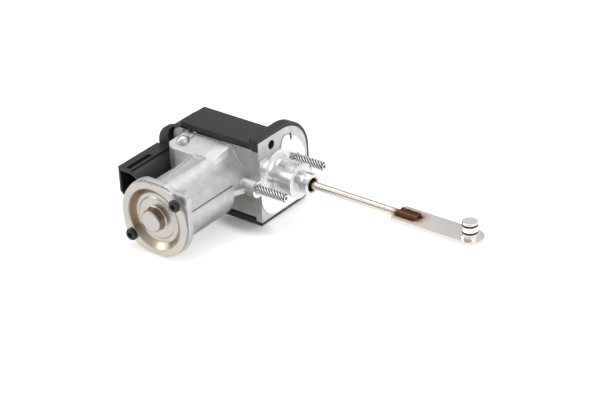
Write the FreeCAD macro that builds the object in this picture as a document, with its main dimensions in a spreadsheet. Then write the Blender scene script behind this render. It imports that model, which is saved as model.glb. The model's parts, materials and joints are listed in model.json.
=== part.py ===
import FreeCAD, Part
import math
import os
import Sketcher

# Electric boost-control actuator. Millimetres, +Z up. The origin is where the push rod's axis
# meets the mounting face; +X runs along the rod, -Y towards the motor's end plate.

doc = FreeCAD.newDocument("actuator")
sheet = doc.addObject("Spreadsheet::Sheet", "dims")

DRIVING_SIZES = {
    # how far a feature runs into its neighbour, a shallower one, and the small bevels
    "join": 1.0, "sink": 0.5, "edge": 0.6,
    # side wall of the casting, which closes the gear case
    "wall_near": 17.6, "wall_thick": 4.0, "wall_top": 22.6, "wall_bottom": 25.2, "wall_back": 70.8,
    "wall_corner": 6.5, "wall_low_corner": 12.0,
    # mounting flange and the milled pad on it
    "flange_far": 31.1, "flange_top": 28.5, "flange_bottom": 28.1, "flange_thick": 5.0,
    "flange_arc": 23.6, "flange_corner": 6.0, "pad_rise": 0.5, "pad_margin": 3.1, "pad_arc": 26.0,
    "pad_low": 27.0, "pad_scallop": 16.0, "pad_low_start": 11.5, "pad_low_run": 14.5,
    "pad_shoulder": 16.6, "relief_rise": 0.8, "relief_fall": 1.4, "tapped_hole_y": -4.5,
    "tapped_hole_z": 22.4, "tapped_hole_radius": 2.9, "tapped_hole_depth": 4.2, "relief_arc": 9.5,
    "relief_left": 7.4, "relief_right": 10.0, "relief_end": 13.5, "key_slot_y": 14.8,
    "key_slot_z": 20.1, "key_slot_width": 1.5, "key_slot_length": 4.0, "key_slot_depth": 1.5,
    # nose that the rod comes out of
    "barrel_radius": 11.0, "barrel_length": 16.6, "nose_fillet": 5.0, "collar_radius": 11.7,
    "collar_front": 19.6, "collar_bevel": 2.2, "collar_round": 1.2, "spout_radius": 7.1,
    "spout_length": 27.5, "rod_passage": 4.6, "bush_bore": 4.5, "bush_wall": 0.6, "bush_inset": 0.3,
    "bush_length": 12.0,
    # studs
    "stud_circle": 40.0, "stud_angle": 6.0, "stud_radius": 3.0, "stud_root_radius": 3.3,
    "stud_out": 21.6, "stud_in": 9.0, "stud_boss_radius": 6.0, "near_boss_length": 12.0,
    "far_boss_length": 11.0, "stud_bevel": 0.8, "stud_drive_radius": 1.2, "stud_drive_depth": 1.6,
    # motor tube of the casting
    "motor_x": -30.5, "motor_z": -2.0, "tube_wall": 2.4, "tube_bore": 18.1, "tube_front": 82.8,
    "tube_floor": 35.2, "tube_floor_thick": 2.6, "neck_radius": 17.0, "neck_reach": 3.0,
    "neck_start": 1.0, "neck_end": 80.0, "nose_bearing_hole": 6.2, "motor_flange_radius": 26.2,
    "motor_flange_side": 25.0, "motor_flange_thick": 4.5, "lug_top": 22.3, "lug_corner": 3.0,
    "ear_circle": 24.5, "ear_radius": 5.0, "ear_depth": 9.0, "screw_angle": 40.0, "plateau_rise": 0.8,
    "plateau_front": 74.5, "plateau_low": 75.0, "plateau_high": 15.0,
    # raised block on the wall, with the flare, rib and domes beside it
    "block_front": 36.0, "block_inset": 7.4, "block_bottom": 12.0, "block_top": 21.8,
    "block_ledge": 18.5, "block_corner": 7.0, "block_slope_start": 1.4, "block_round": 10.0,
    "flare_shoulder": 24.6, "flare_side": 23.0, "flare_root": 12.0, "flare_sink": 0.2,
    "flare_run": 1.5, "flare_end": 50.0, "flare_low": 62.0, "flare_high": 72.0, "rib_start": 64.0,
    "rib_skew": 3.0, "rib_left": 4.1, "rib_right": 1.9, "rib_spread": 4.7, "rib_rise": 0.7,
    "rib_rim": 1.2, "rib_pocket": 1.1, "ridge_left": 3.4, "ridge_width": 3.0, "ridge_rise": 0.15,
    "ridge_depth": 2.0, "dome_x": 53.2, "dome_y": 28.0, "dome_z": 19.5, "dome_radius": 4.6,
    "small_dome_x": 51.8, "small_dome_z": 20.5, "small_dome_radius": 2.0, "small_dome_out": 6.0,
    "gusset_top": 0.8, "gusset_thick": 3.6, "gusset_root": 4.0,
    # moulded cover
    "case_top": 27.5, "case_bottom": 30.5, "case_far": 6.3, "case_wall": 2.2, "case_arc": 18.0,
    "case_floor_extra": 0.2, "case_web_extra": 0.4, "strip_width": 9.5, "strip_top": 24.1,
    "strip_arc": 14.0, "strip_flat": 2.8, "strip_low_corner": 18.0, "strip_front": 21.0,
    "strip_foot": 20.0, "strip_sink": 0.3, "seal_thick": 1.0, "seal_depth": 2.6, "seal_inset": 0.6,
    "rim_wall": 2.4, "rim_front": 1.0, "rim_gap": 0.1, "web_thick": 2.2, "undercut_right": 50.0,
    "undercut_drop": 1.2, "undercut_depth": 1.0, "post_radius": 3.2, "post_side": 4.3,
    "post_drop": 6.0, "post_right": 12.0, "post_edge": 3.6, "post_low_side": 6.8, "post_low_rise": 8.2,
    # connector shell moulded on the cover
    "socket_front": 58.5, "socket_inset": 6.3, "socket_z": -3.4, "socket_radius": 10.0,
    "socket_out": 2.3, "socket_top": 7.8, "socket_wall": 1.7, "socket_ease": 0.01, "socket_bevel": 3.2,
    "socket_bevel_rise": 3.6, "mouth_bevel": 3.6, "mouth_bevel_rise": 3.0, "mouth_drop": 1.2,
    "rail_drop": 0.3, "socket_depth": 24.0, "rail_reach": 2.4, "latch_slot_width": 3.4,
    "latch_slot_start": 35.0, "latch_slot_depth": 2.4, "latch_slot_in": 2.0, "latch_slot_lip": 1.5,
    # end plate of the motor
    "plate_rim": 5.2, "plate_thick": 2.5, "plate_side_cut": 1.0, "plate_screw_cover": 1.8,
    "plate_ear_half": 6.6, "dish_radius": 20.3, "dish_slope": 3.4, "dish_depth": 3.4,
    "disc_radius": 13.6, "disc_rise": 0.8, "cup_radius": 7.4, "cup_height": 3.3, "cup_wall": 2.3,
    "cup_floor_thick": 1.8, "plate_round": 0.8, "plate_floor": 1.7, "spigot_gap": 0.05,
    "hole_gap": 0.1, "screw_radius": 1.6, "screw_head_radius": 4.0, "screw_head_height": 2.6,
    "screw_bevel": 0.9, "screw_length": 9.0, "screw_drive_radius": 2.0, "screw_drive_depth": 1.7,
    # motor
    "can_gap": 0.1, "can_wall": 1.2, "can_front": 79.6, "magnet_wall": 4.4, "magnet_front": 70.0,
    "magnet_back": 40.0, "magnet_angle": 130.0, "shaft_radius": 1.5, "bearing_clearance": 0.04,
    "bearing_length": 5.0, "front_bearing_radius": 4.2, "bearing_wall": 1.0, "bearing_step": 0.6,
    "shaft_end_gap": 0.3, "air_gap": 0.6, "rotor_front": 68.0, "rotor_back": 43.0, "rotor_slots": 5,
    "rotor_slot_width": 3.2, "rotor_slot_floor": 6.2, "coil_drop": 1.4, "coil_lean": 0.35,
    "coil_taper": 1.6, "coil_length": 3.4, "commutator_radius": 4.5, "commutator_length": 5.4,
    "brush_card_thick": 1.6, "brush_card_inset": 1.0, "brush_ratio": 1.6, "brush_card_bore": 6.0,
    "brush_size": 3.4, "brush_gap": 0.1,
    # gear train, all axes parallel to the motor's
    "motor_module": 0.8, "motor_pinion_teeth": 12, "wheel_teeth": 36, "gear_module": 1.0,
    "pinion_teeth": 11, "output_teeth": 40, "mesh_gap": 0.15, "wheel_direction": 145.0,
    "output_drop": 13.0, "wheel_plane": 13.3, "wheel_face": 4.0, "sector_plane": 8.9,
    "sector_face": 4.5, "gear_pin_radius": 2.0, "gear_running_gap": 0.05, "gear_hub_radius": 4.5,
    "sector_side": 38.0, "gear_pin_seat": 5.0, "pinion_overrun": 0.3, "hub_wall": 2.2,
    "wheel_pin_overrun": 1.0, "output_pin_overrun": 1.2, "rim_depth": 3.2, "web_start": 3.0,
    # crank and rod
    "crank_radius": 13.0, "crank_pin_radius": 2.5, "crank_thick": 1.4, "crank_arm_radius": 5.2,
    "crank_taper": 1.4, "crank_tip": 0.5, "crank_groove_depth": 0.6, "sleeve_end_gap": 0.2,
    "rod_radius": 2.65, "eye_radius": 5.6, "eye_thick": 5.5, "eye_gap": 0.1, "shank_gap": 1.2,
    "rod_bevel": 0.5, "clip_thick": 0.7, "clip_radius": 4.0, "crank_end": 3.9,
    "magnet_ring_radius": 4.4, "magnet_ring_length": 2.9, "magnet_ring_gap": 0.4,
    # link plate and pin at the rod's free end
    "link_pin_x": 144.7, "link_half_width": 8.7, "link_thick": 2.4, "link_start": 92.0,
    "link_slot_end": 109.0, "link_slot_gap": 0.05, "link_corner": 2.0, "rod_end": 107.0,
    "pin_radius": 5.0, "pin_groove_radius": 4.0, "pin_flange_radius": 6.2, "pin_flange_height": 1.6,
    "pin_top": 11.1, "pin_groove_width": 1.3, "pin_low_groove": 3.8, "pin_high_groove": 8.6,
    "pin_chamfer": 0.5, "pin_foot": 0.6, "pin_foot_reach": 0.9, "weld_radius": 1.8, "weld_start": 1.0,
    "weld_end": 3.0, "weld_rise": 0.8, "weld_inset": 0.62, "weld_bulge": 0.6,
    # sensor and connector contacts
    "board_thick": 1.2, "board_gap": 1.7, "board_top": 8.8, "board_foot": 24.0, "board_right": 18.0,
    "board_inset": 3.9, "board_corner": 10.0, "board_step": 2.0, "board_hole_gap": 0.2,
    "board_tab_reach": 7.0, "stand_radius": 2.0, "stand_left_in": 5.4, "stand_left_up": 13.0,
    "stand_right_in": 8.0, "stand_right_up": 4.0, "chip_size": 6.0, "chip_thick": 1.0,
    "contact_size": 0.8, "contact_pitch": 3.4, "contact_count": 5, "contact_front": 44.5,
    "cover_screw_radius": 1.5, "cover_screw_head": 3.4, "cover_screw_head_height": 2.4,
    "cover_screw_bevel": 0.5, "cover_screw_skin": 1.0, "cover_drive_radius": 1.4,
    "cover_drive_depth": 1.4, "lobe_ratio": 0.74,
}
for row, (alias, amount) in enumerate(DRIVING_SIZES.items(), start=1):
    sheet.set("A%d" % row, alias)
    sheet.set("B%d" % row, str(amount))
    sheet.setAlias("B%d" % row, alias)
doc.recompute()


class Size(float):
    """A length that keeps the spreadsheet formula it comes from."""

    def __new__(cls, amount, formula):
        size = float.__new__(cls, amount)
        size.formula = formula
        return size

    def __add__(self, other):
        return Size(float(self) + float(other), "(%s + %s)" % (self.formula, formula_of(other)))

    def __radd__(self, other):
        return Size(float(other) + float(self), "(%s + %s)" % (formula_of(other), self.formula))

    def __sub__(self, other):
        return Size(float(self) - float(other), "(%s - %s)" % (self.formula, formula_of(other)))

    def __rsub__(self, other):
        return Size(float(other) - float(self), "(%s - %s)" % (formula_of(other), self.formula))

    def __mul__(self, other):
        return Size(float(self) * float(other), "(%s * %s)" % (self.formula, formula_of(other)))

    def __rmul__(self, other):
        return self * other

    def __truediv__(self, other):
        return Size(float(self) / float(other), "(%s / %s)" % (self.formula, formula_of(other)))

    def __neg__(self):
        return Size(-float(self), "(-1 * %s)" % self.formula)


def formula_of(amount):
    return amount.formula if isinstance(amount, Size) else repr(float(amount))


def cosine(angle):
    return Size(math.cos(math.radians(angle)), "cos(%s * 1 deg)" % formula_of(angle))


def sine(angle):
    return Size(math.sin(math.radians(angle)), "sin(%s * 1 deg)" % formula_of(angle))


def leg(longest, other):
    """The third side of a triangle with a right angle."""
    formula = "sqrt(pow(%s; 2) - pow(%s; 2))" % (formula_of(longest), formula_of(other))
    return Size(math.sqrt(longest ** 2 - other ** 2), formula)


class Sizes:
    """Reads the spreadsheet: s.rod_radius is that cell's value with its formula."""

    def __getattr__(self, alias):
        return Size(sheet.get(alias), "dims." + alias)


s = Sizes()


def bind(item, path, amount):
    if isinstance(amount, Size):
        item.setExpression(path, amount.formula)


# Bodies, sketches and features

def new_body(label, x=0.0, y=0.0, z=0.0):
    body = doc.addObject("PartDesign::Body", label)
    body.Label = label
    body.Placement = FreeCAD.Placement(FreeCAD.Vector(x, y, z), FreeCAD.Rotation())
    for axis, amount in (("x", x), ("y", y), ("z", z)):
        bind(body, ".Placement.Base." + axis, amount)
    return body


def new_sketch(body, plane, shift=0.0):
    """A sketch on an origin plane. XZ sketches look along +Y, and a positive shift moves them to -Y."""
    sketch = body.newObject("Sketcher::SketchObject", body.Label + "_sketch")
    base = next(f for f in body.Origin.OriginFeatures if f.Role == plane + "_Plane")
    sketch.AttachmentSupport = [(base, "")]
    sketch.MapMode = "FlatFace"
    sketch.AttachmentOffset = FreeCAD.Placement(FreeCAD.Vector(0, 0, shift), FreeCAD.Rotation())
    bind(sketch, ".AttachmentOffset.Base.z", shift)
    return sketch


def arc_between(here, there, radius):
    chord = there - here
    half = chord.Length / 2
    left = FreeCAD.Vector(-chord.y, chord.x, 0).normalize()
    side = 1 if radius > 0 else -1
    centre = (here + there) / 2 + left * side * math.sqrt(max(radius * radius - half * half, 0))
    start, stop = (here, there) if radius > 0 else (there, here)
    first = math.atan2(start.y - centre.y, start.x - centre.x)
    last = math.atan2(stop.y - centre.y, stop.x - centre.x)
    circle = Part.Circle(centre, FreeCAD.Vector(0, 0, 1), abs(radius))
    return Part.ArcOfCircle(circle, first, last)


def loop(sketch, corners):
    """A closed outline. A corner's third value is the radius of the arc to the next corner:
    positive where the outline turns left along it, negative where it turns right."""
    points = [FreeCAD.Vector(corner[0], corner[1], 0) for corner in corners]
    sides = []
    for i, corner in enumerate(corners):
        here = points[i]
        there = points[(i + 1) % len(points)]
        if len(corner) == 3:
            n = sketch.addGeometry(arc_between(here, there, corner[2]), False)
            sides.append((n, 1, 2) if corner[2] > 0 else (n, 2, 1))
        else:
            n = sketch.addGeometry(Part.LineSegment(here, there), False)
            sides.append((n, 1, 2))
    for i, corner in enumerate(corners):
        n, first, last = sides[i]
        following, start, stop = sides[(i + 1) % len(sides)]
        sketch.addConstraint(Sketcher.Constraint("Coincident", n, last, following, start))
        if len(corner) == 3:
            c = sketch.addConstraint(Sketcher.Constraint("Radius", n, abs(corner[2])))
            radius = corner[2] if corner[2] > 0 else corner[2] * -1.0
            bind(sketch, "Constraints[%d]" % c, radius)
        for kind, amount in (("DistanceX", corner[0]), ("DistanceY", corner[1])):
            c = sketch.addConstraint(Sketcher.Constraint(kind, -1, 1, n, first, float(amount)))
            bind(sketch, "Constraints[%d]" % c, amount)


def ring(sketch, x, y, radius):
    centre = FreeCAD.Vector(x, y, 0)
    n = sketch.addGeometry(Part.Circle(centre, FreeCAD.Vector(0, 0, 1), float(radius)), False)
    c = sketch.addConstraint(Sketcher.Constraint("Radius", n, float(radius)))
    bind(sketch, "Constraints[%d]" % c, radius)
    for kind, amount in (("DistanceX", x), ("DistanceY", y)):
        c = sketch.addConstraint(Sketcher.Constraint(kind, -1, 1, n, 3, float(amount)))
        bind(sketch, "Constraints[%d]" % c, amount)


def box_loop(sketch, left, right, low, high):
    loop(sketch, [(left, low), (right, low), (right, high), (left, high)])


def extrude(body, kind, sketch, length, reversed_way):
    feature = body.newObject("PartDesign::" + kind, body.Label + "_" + kind.lower())
    feature.Profile = sketch
    feature.Length = float(length)
    bind(feature, "Length", length)
    feature.Reversed = reversed_way
    sketch.Visibility = False
    return feature


def pad(body, sketch, length, reversed_way=False):
    return extrude(body, "Pad", sketch, length, reversed_way)


def cut(body, sketch, length, reversed_way=False):
    """A pocket. It goes against the sketch's normal, or along it when reversed."""
    return extrude(body, "Pocket", sketch, length, reversed_way)


def turn(body, sketch, kind="Revolution", axis="H_Axis"):
    feature = body.newObject("PartDesign::" + kind, body.Label + "_" + kind.lower())
    feature.Profile = sketch
    feature.ReferenceAxis = (sketch, [axis])
    feature.Angle = 360.0
    return feature


def turned(label, along, corners, x=0.0, y=0.0, z=0.0):
    """A turned piece: corners are (distance along the axis, radius)."""
    body = new_body(label, x, y, z)
    sketch = new_sketch(body, {"X": "XZ", "Y": "YZ", "Z": "XZ"}[along])
    if along == "Z":
        loop(sketch, [(corner[1], corner[0]) for corner in corners])
        turn(body, sketch, axis="V_Axis")
    else:
        loop(sketch, corners)
        turn(body, sketch)
    return body


def tube(label, along, start, stop, bore, radius, x=0.0, y=0.0, z=0.0):
    return turned(label, along, [(start, bore), (stop, bore), (stop, radius), (start, radius)], x, y, z)


def rod_of(label, along, start, stop, radius, x=0.0, y=0.0, z=0.0):
    return tube(label, along, start, stop, 0.0, radius, x, y, z)


def free_shape(label, shape, x=0.0, y=0.0, z=0.0):
    item = doc.addObject("Part::Feature", label)
    item.Label = label
    item.Shape = shape
    item.Placement = FreeCAD.Placement(FreeCAD.Vector(x, y, z), FreeCAD.Rotation())
    for axis, amount in (("x", x), ("y", y), ("z", z)):
        bind(item, ".Placement.Base." + axis, amount)
    return item


# Places that several pieces share

stud_y = s.stud_circle / 2 * cosine(s.stud_angle)
stud_z = s.stud_circle / 2 * sine(s.stud_angle)
wall_inside = s.wall_near - s.wall_thick
flange_back = -s.flange_thick - s.pad_rise
screw_x = s.ear_circle * cosine(s.screw_angle)
screw_z = s.ear_circle * sine(s.screw_angle)
plate_front = s.tube_front + s.plate_thick
wheel_reach = s.motor_module * (s.motor_pinion_teeth + s.wheel_teeth) / 2
wheel_x = s.motor_x + wheel_reach * cosine(s.wheel_direction)
wheel_z = s.motor_z + wheel_reach * sine(s.wheel_direction)
output_reach = s.gear_module * (s.pinion_teeth + s.output_teeth) / 2
output_z = -s.output_drop
output_x = wheel_x + leg(output_reach, wheel_z - output_z)
lid_inside = s.case_far - s.case_wall
tube_radius = s.tube_bore + s.tube_wall
can_radius = s.tube_bore - s.can_gap
rotor_radius = can_radius - s.can_wall - s.magnet_wall - s.air_gap
block_left = s.wall_back - s.block_inset
strip_back = s.wall_back + s.strip_width
case_back = strip_back - s.strip_arc - s.strip_flat
socket_x = -strip_back + s.socket_inset
socket_back = strip_back + s.socket_out
rail_right = -socket_x - s.rail_reach
board_left = strip_back - s.board_inset
board_tab = -socket_x - s.board_tab_reach
plate_radius = s.dish_radius + s.plate_rim
cup_bore = s.cup_radius - s.cup_wall
cover_posts = [
    (-s.wall_back + s.post_side, s.wall_top - s.post_drop), (-s.post_right, s.wall_top - s.post_edge),
    (-s.post_right, -s.wall_bottom + s.post_edge),
    (-s.wall_back + s.post_low_side, -s.wall_bottom + s.post_low_rise)]


def beside_motor(corners, turned_too=False):
    """Corners given from the motor's axis, with their half turn if the outline has one."""
    if turned_too:
        corners = corners + [(-corner[0], -corner[1]) + tuple(corner[2:]) for corner in corners]
    return [(s.motor_x + corner[0], s.motor_z + corner[1]) + tuple(corner[2:]) for corner in corners]


def on_circle(angle, radius):
    return radius * cosine(angle), radius * sine(angle)


def make_housing():
    body = new_body("housing")
    add_wall_and_flange(body)
    add_block(body)
    add_motor_tube(body)
    add_rib_and_domes(body)
    add_nose(body)
    cut_housing_bores(body)


def add_wall_and_flange(body):
    wall = new_sketch(body, "XZ", wall_inside)
    loop(wall, [
        (-s.wall_back + s.wall_low_corner, -s.wall_bottom), (flange_back + s.join, -s.wall_bottom),
        (flange_back + s.join, s.wall_top), (-s.wall_back + s.wall_corner, s.wall_top, s.wall_corner),
        (-s.wall_back, s.wall_top - s.wall_corner),
        (-s.wall_back, -s.wall_bottom + s.wall_low_corner, s.wall_low_corner)])
    pad(body, wall, s.wall_thick)
    flange = new_sketch(body, "YZ", flange_back)
    loop(flange, [
        (-s.wall_near, -s.flange_bottom),
        (s.flange_far - s.flange_corner, -s.flange_bottom, s.flange_corner),
        (s.flange_far, -s.flange_bottom + s.flange_corner),
        (s.flange_far, s.flange_top - s.flange_arc, s.flange_arc),
        (s.flange_far - s.flange_arc, s.flange_top), (-s.wall_near, s.flange_top)])
    pad(body, flange, s.flange_thick)
    # milled pad, relieved round the tapped hole
    milled = new_sketch(body, "YZ", -s.pad_rise)
    pad_far = s.flange_far - s.pad_margin
    loop(milled, [
        (-s.wall_near, -s.pad_low_start, s.pad_scallop), (-s.wall_near + s.pad_low_run, -s.pad_low),
        (pad_far - s.flange_corner, -s.pad_low, s.flange_corner), (pad_far, -s.pad_low + s.flange_corner),
        (pad_far, s.flange_top - s.flange_arc, s.pad_arc),
        (s.tapped_hole_y + s.relief_end, s.tapped_hole_z + s.relief_rise),
        (s.tapped_hole_y + s.relief_right, s.tapped_hole_z - s.relief_fall, -s.relief_arc),
        (s.tapped_hole_y - s.relief_left, s.pad_shoulder), (-s.wall_near, s.pad_shoulder)])
    pad(body, milled, s.pad_rise)
    # stud bosses behind the flange
    for sign, length, front in ((-1, s.near_boss_length, 0.0), (1, s.far_boss_length, flange_back + s.join)):
        boss = new_sketch(body, "YZ", -length)
        ring(boss, stud_y * sign, stud_z * sign, s.stud_boss_radius)
        pad(body, boss, length + front)


def add_block(body):
    """The raised block over the gears, whose top falls away from the wall."""
    block = new_sketch(body, "XZ", s.wall_near - s.join)
    corner = s.block_corner
    loop(block, [
        (-block_left + corner, -s.block_bottom), (s.motor_x, -s.block_bottom), (s.motor_x, s.block_top),
        (-block_left + corner, s.block_top, corner), (-block_left, s.block_top - corner),
        (-block_left, -s.block_bottom + corner, corner)])
    pad(body, block, s.block_front - s.wall_near + s.join)
    slope = new_sketch(body, "YZ", -s.wall_back)
    slope_start = -s.wall_near - s.block_slope_start
    above = s.wall_top + s.join
    loop(slope, [
        (slope_start, s.block_top), (-s.block_front, s.block_ledge),
        (-s.block_front - s.join, s.block_ledge), (-s.block_front - s.join, above),
        (slope_start, above)])
    cut(body, slope, s.wall_back, True)
    # its front corner beside the connector is well rounded
    outside = new_sketch(body, "XY", above)
    left = -block_left
    front = -s.block_front
    bend = s.block_round
    loop(outside, [
        (left - s.join, front + bend), (left - s.join, front - s.join), (left + bend, front - s.join),
        (left + bend, front, -bend), (left, front + bend)])
    cut(body, outside, above + s.block_bottom + s.join)


def add_motor_tube(body):
    drum = new_sketch(body, "XZ", s.wall_near - s.join)
    ring(drum, s.motor_x, s.motor_z, tube_radius)
    pad(body, drum, s.tube_front - s.wall_near + s.join)
    # flare that carries the block's top round to the tube's side
    inside = tube_radius - s.flare_sink
    flare = []
    for shift, top, shoulder, side, end in (
            (s.wall_near - s.sink, s.block_top - s.motor_z, s.flare_shoulder, s.flare_side, tube_radius),
            (s.block_front + s.flare_run, inside, inside, inside, inside)):
        section = new_sketch(body, "XZ", shift)
        loop(section, beside_motor([
            (0.0, s.flare_root), on_circle(s.flare_end, s.flare_root), on_circle(s.flare_end, end),
            on_circle(s.flare_low, side), on_circle(s.flare_high, shoulder), (0.0, top)]))
        flare.append(section)
    loft = body.newObject("PartDesign::AdditiveLoft", "housing_flare")
    loft.Profile = flare[0]
    loft.Sections = [flare[1]]
    loft.Ruled = True
    # plateau on the tube's side and the neck behind it
    proud = tube_radius + s.plateau_rise
    plateau_back = s.tube_floor - s.tube_floor_thick
    plateau = new_sketch(body, "XZ", plateau_back)
    loop(plateau, beside_motor([
        (0.0, 0.0), on_circle(-s.plateau_low, proud) + (proud,), on_circle(s.plateau_high, proud)]))
    pad(body, plateau, s.plateau_front - plateau_back)
    neck = new_sketch(body, "XZ", s.wall_near)
    inner = s.neck_radius
    outer = tube_radius + s.neck_reach
    loop(neck, beside_motor([
        (outer, s.neck_start), (leg(inner, s.neck_start), s.neck_start, -inner),
        on_circle(-s.neck_end, inner),
        on_circle(-s.neck_end, outer) + (outer,)]))
    cut(body, neck, plateau_back - s.wall_near, True)
    # flange with a square lug at each end screw, and bosses behind the lugs
    radius = s.motor_flange_radius
    side = s.motor_flange_side
    lug = s.lug_corner
    collar = new_sketch(body, "XZ", s.tube_front - s.motor_flange_thick)
    loop(collar, beside_motor([
        (radius, 0.0), (radius, s.lug_top - lug, lug), (radius - lug, s.lug_top),
        (leg(radius, s.lug_top), s.lug_top, radius), (leg(radius, side), side),
        (-leg(radius, side), side, radius)], True))
    pad(body, collar, s.motor_flange_thick)
    for sign in (-1, 1):
        ear = new_sketch(body, "XZ", s.tube_front - s.ear_depth)
        ring(ear, s.motor_x + screw_x * sign, s.motor_z + screw_z * sign, s.ear_radius)
        pad(body, ear, s.ear_depth)
    # gusset between tube and near stud boss
    gusset = new_sketch(body, "XY", -s.gusset_top - s.gusset_thick)
    tube_side = s.motor_x + tube_radius
    boss_side = -stud_y - s.stud_boss_radius / 2
    loop(gusset, [
        (tube_side - s.gusset_root, -plateau_back), (tube_side, -plateau_back), (flange_back, boss_side),
        (flange_back, -s.wall_near + s.join), (tube_side - s.gusset_root, -s.wall_near + s.join)])
    pad(body, gusset, s.gusset_thick)


def add_rib_and_domes(body):
    """A wedge-shaped rib with a pocket in it, the ridge before it and two domes."""
    top = s.motor_z + tube_radius + s.rib_rise
    near_left = s.motor_x - s.rib_left
    right = s.motor_x + s.rib_right
    far_left = near_left - s.rib_spread
    depth = s.tube_wall + s.rib_rise
    rib = new_sketch(body, "XY", top - depth)
    loop(rib, [
        (near_left, -s.rib_start), (right, -s.rib_start - s.rib_skew), (right, -s.block_front + s.join),
        (far_left, -s.block_front + s.join)])
    pad(body, rib, depth)
    pocket = new_sketch(body, "XY", top)
    rim = s.rib_rim
    loop(pocket, [
        (near_left + rim, -s.rib_start + rim), (right - rim, -s.rib_start - s.rib_skew + rim * 2),
        (right - rim, -s.block_front - rim), (far_left + rim, -s.block_front - rim)])
    cut(body, pocket, s.rib_pocket)
    ridge_top = s.motor_z + tube_radius + s.ridge_rise
    ridge = new_sketch(body, "XY", ridge_top - s.ridge_depth)
    ridge_left = s.motor_x - s.ridge_left
    box_loop(ridge, ridge_left, ridge_left + s.ridge_width, -s.tube_front + s.ridge_depth,
             -s.rib_start - s.join)
    pad(body, ridge, s.ridge_depth)
    dome = body.newObject("PartDesign::AdditiveSphere", "housing_dome")
    dome.Radius = float(s.dome_radius)
    bind(dome, "Radius", s.dome_radius)
    dome.Placement = FreeCAD.Placement(FreeCAD.Vector(-s.dome_x, -s.dome_y, s.dome_z), FreeCAD.Rotation())
    for axis, amount in (("x", -s.dome_x), ("y", -s.dome_y), ("z", s.dome_z)):
        bind(dome, ".Placement.Base." + axis, amount)
    small = new_sketch(body, "XZ", s.wall_near - s.join)
    ring(small, -s.small_dome_x, s.small_dome_z, s.small_dome_radius)
    pad(body, small, s.small_dome_out + s.join)


def add_nose(body):
    nose = new_sketch(body, "XZ")
    loop(nose, [
        (flange_back, 0.0), (s.spout_length, 0.0), (s.spout_length, s.spout_radius - s.edge),
        (s.spout_length - s.edge, s.spout_radius), (s.collar_front, s.spout_radius),
        (s.collar_front, s.collar_radius - s.collar_bevel),
        (s.collar_front - s.collar_round, s.collar_radius), (s.barrel_length + s.edge, s.collar_radius),
        (s.barrel_length, s.barrel_radius), (s.nose_fillet, s.barrel_radius, -s.nose_fillet),
        (0.0, s.barrel_radius + s.nose_fillet), (flange_back, s.barrel_radius + s.nose_fillet)])
    turn(body, nose)


def cut_housing_bores(body):
    passage = new_sketch(body, "YZ", s.spout_length)
    ring(passage, 0.0, 0.0, s.rod_passage)
    cut(body, passage, s.spout_length - flange_back + s.join)
    seat = new_sketch(body, "YZ", s.spout_length)
    ring(seat, 0.0, 0.0, s.bush_bore + s.bush_wall)
    cut(body, seat, s.bush_length)
    for sign in (-1, 1):
        stud_hole = new_sketch(body, "YZ", 0.0)
        ring(stud_hole, stud_y * sign, stud_z * sign, s.stud_root_radius)
        cut(body, stud_hole, s.stud_in)
    tapped = new_sketch(body, "YZ", 0.0)
    ring(tapped, s.tapped_hole_y, s.tapped_hole_z, s.tapped_hole_radius)
    cut(body, tapped, s.tapped_hole_depth)
    key = new_sketch(body, "YZ", 0.0)
    half_width = s.key_slot_width / 2
    half_length = s.key_slot_length / 2
    box_loop(key, s.key_slot_y - half_width, s.key_slot_y + half_width, s.key_slot_z - half_length,
             s.key_slot_z + half_length)
    cut(body, key, s.key_slot_depth)
    bore = new_sketch(body, "XZ", s.tube_front)
    ring(bore, s.motor_x, s.motor_z, s.tube_bore)
    cut(body, bore, s.tube_front - s.tube_floor)
    bearing_hole = new_sketch(body, "XZ", s.tube_floor)
    ring(bearing_hole, s.motor_x, s.motor_z, s.nose_bearing_hole)
    cut(body, bearing_hole, s.tube_floor - wall_inside + s.join)
    for x, z in ((wheel_x, wheel_z), (output_x, output_z)):
        pin_seat = new_sketch(body, "XZ", wall_inside)
        ring(pin_seat, x, z, s.gear_pin_radius)
        cut(body, pin_seat, s.gear_pin_seat, True)
    for sign in (-1, 1):
        screw_hole = new_sketch(body, "XZ", s.tube_front)
        ring(screw_hole, s.motor_x + screw_x * sign, s.motor_z + screw_z * sign, s.screw_radius)
        cut(body, screw_hole, s.screw_length - s.plate_thick)
    for x, z in cover_posts:
        cover_hole = new_sketch(body, "XZ", wall_inside)
        ring(cover_hole, x, z, s.cover_screw_radius)
        cut(body, cover_hole, s.wall_thick - s.cover_screw_skin, True)


def make_cover():
    body = new_body("cover")
    add_case(body)
    add_flange_rim(body)
    add_socket_body(body)
    cut_gear_space(body)
    cut_socket(body)
    add_posts(body)


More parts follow.
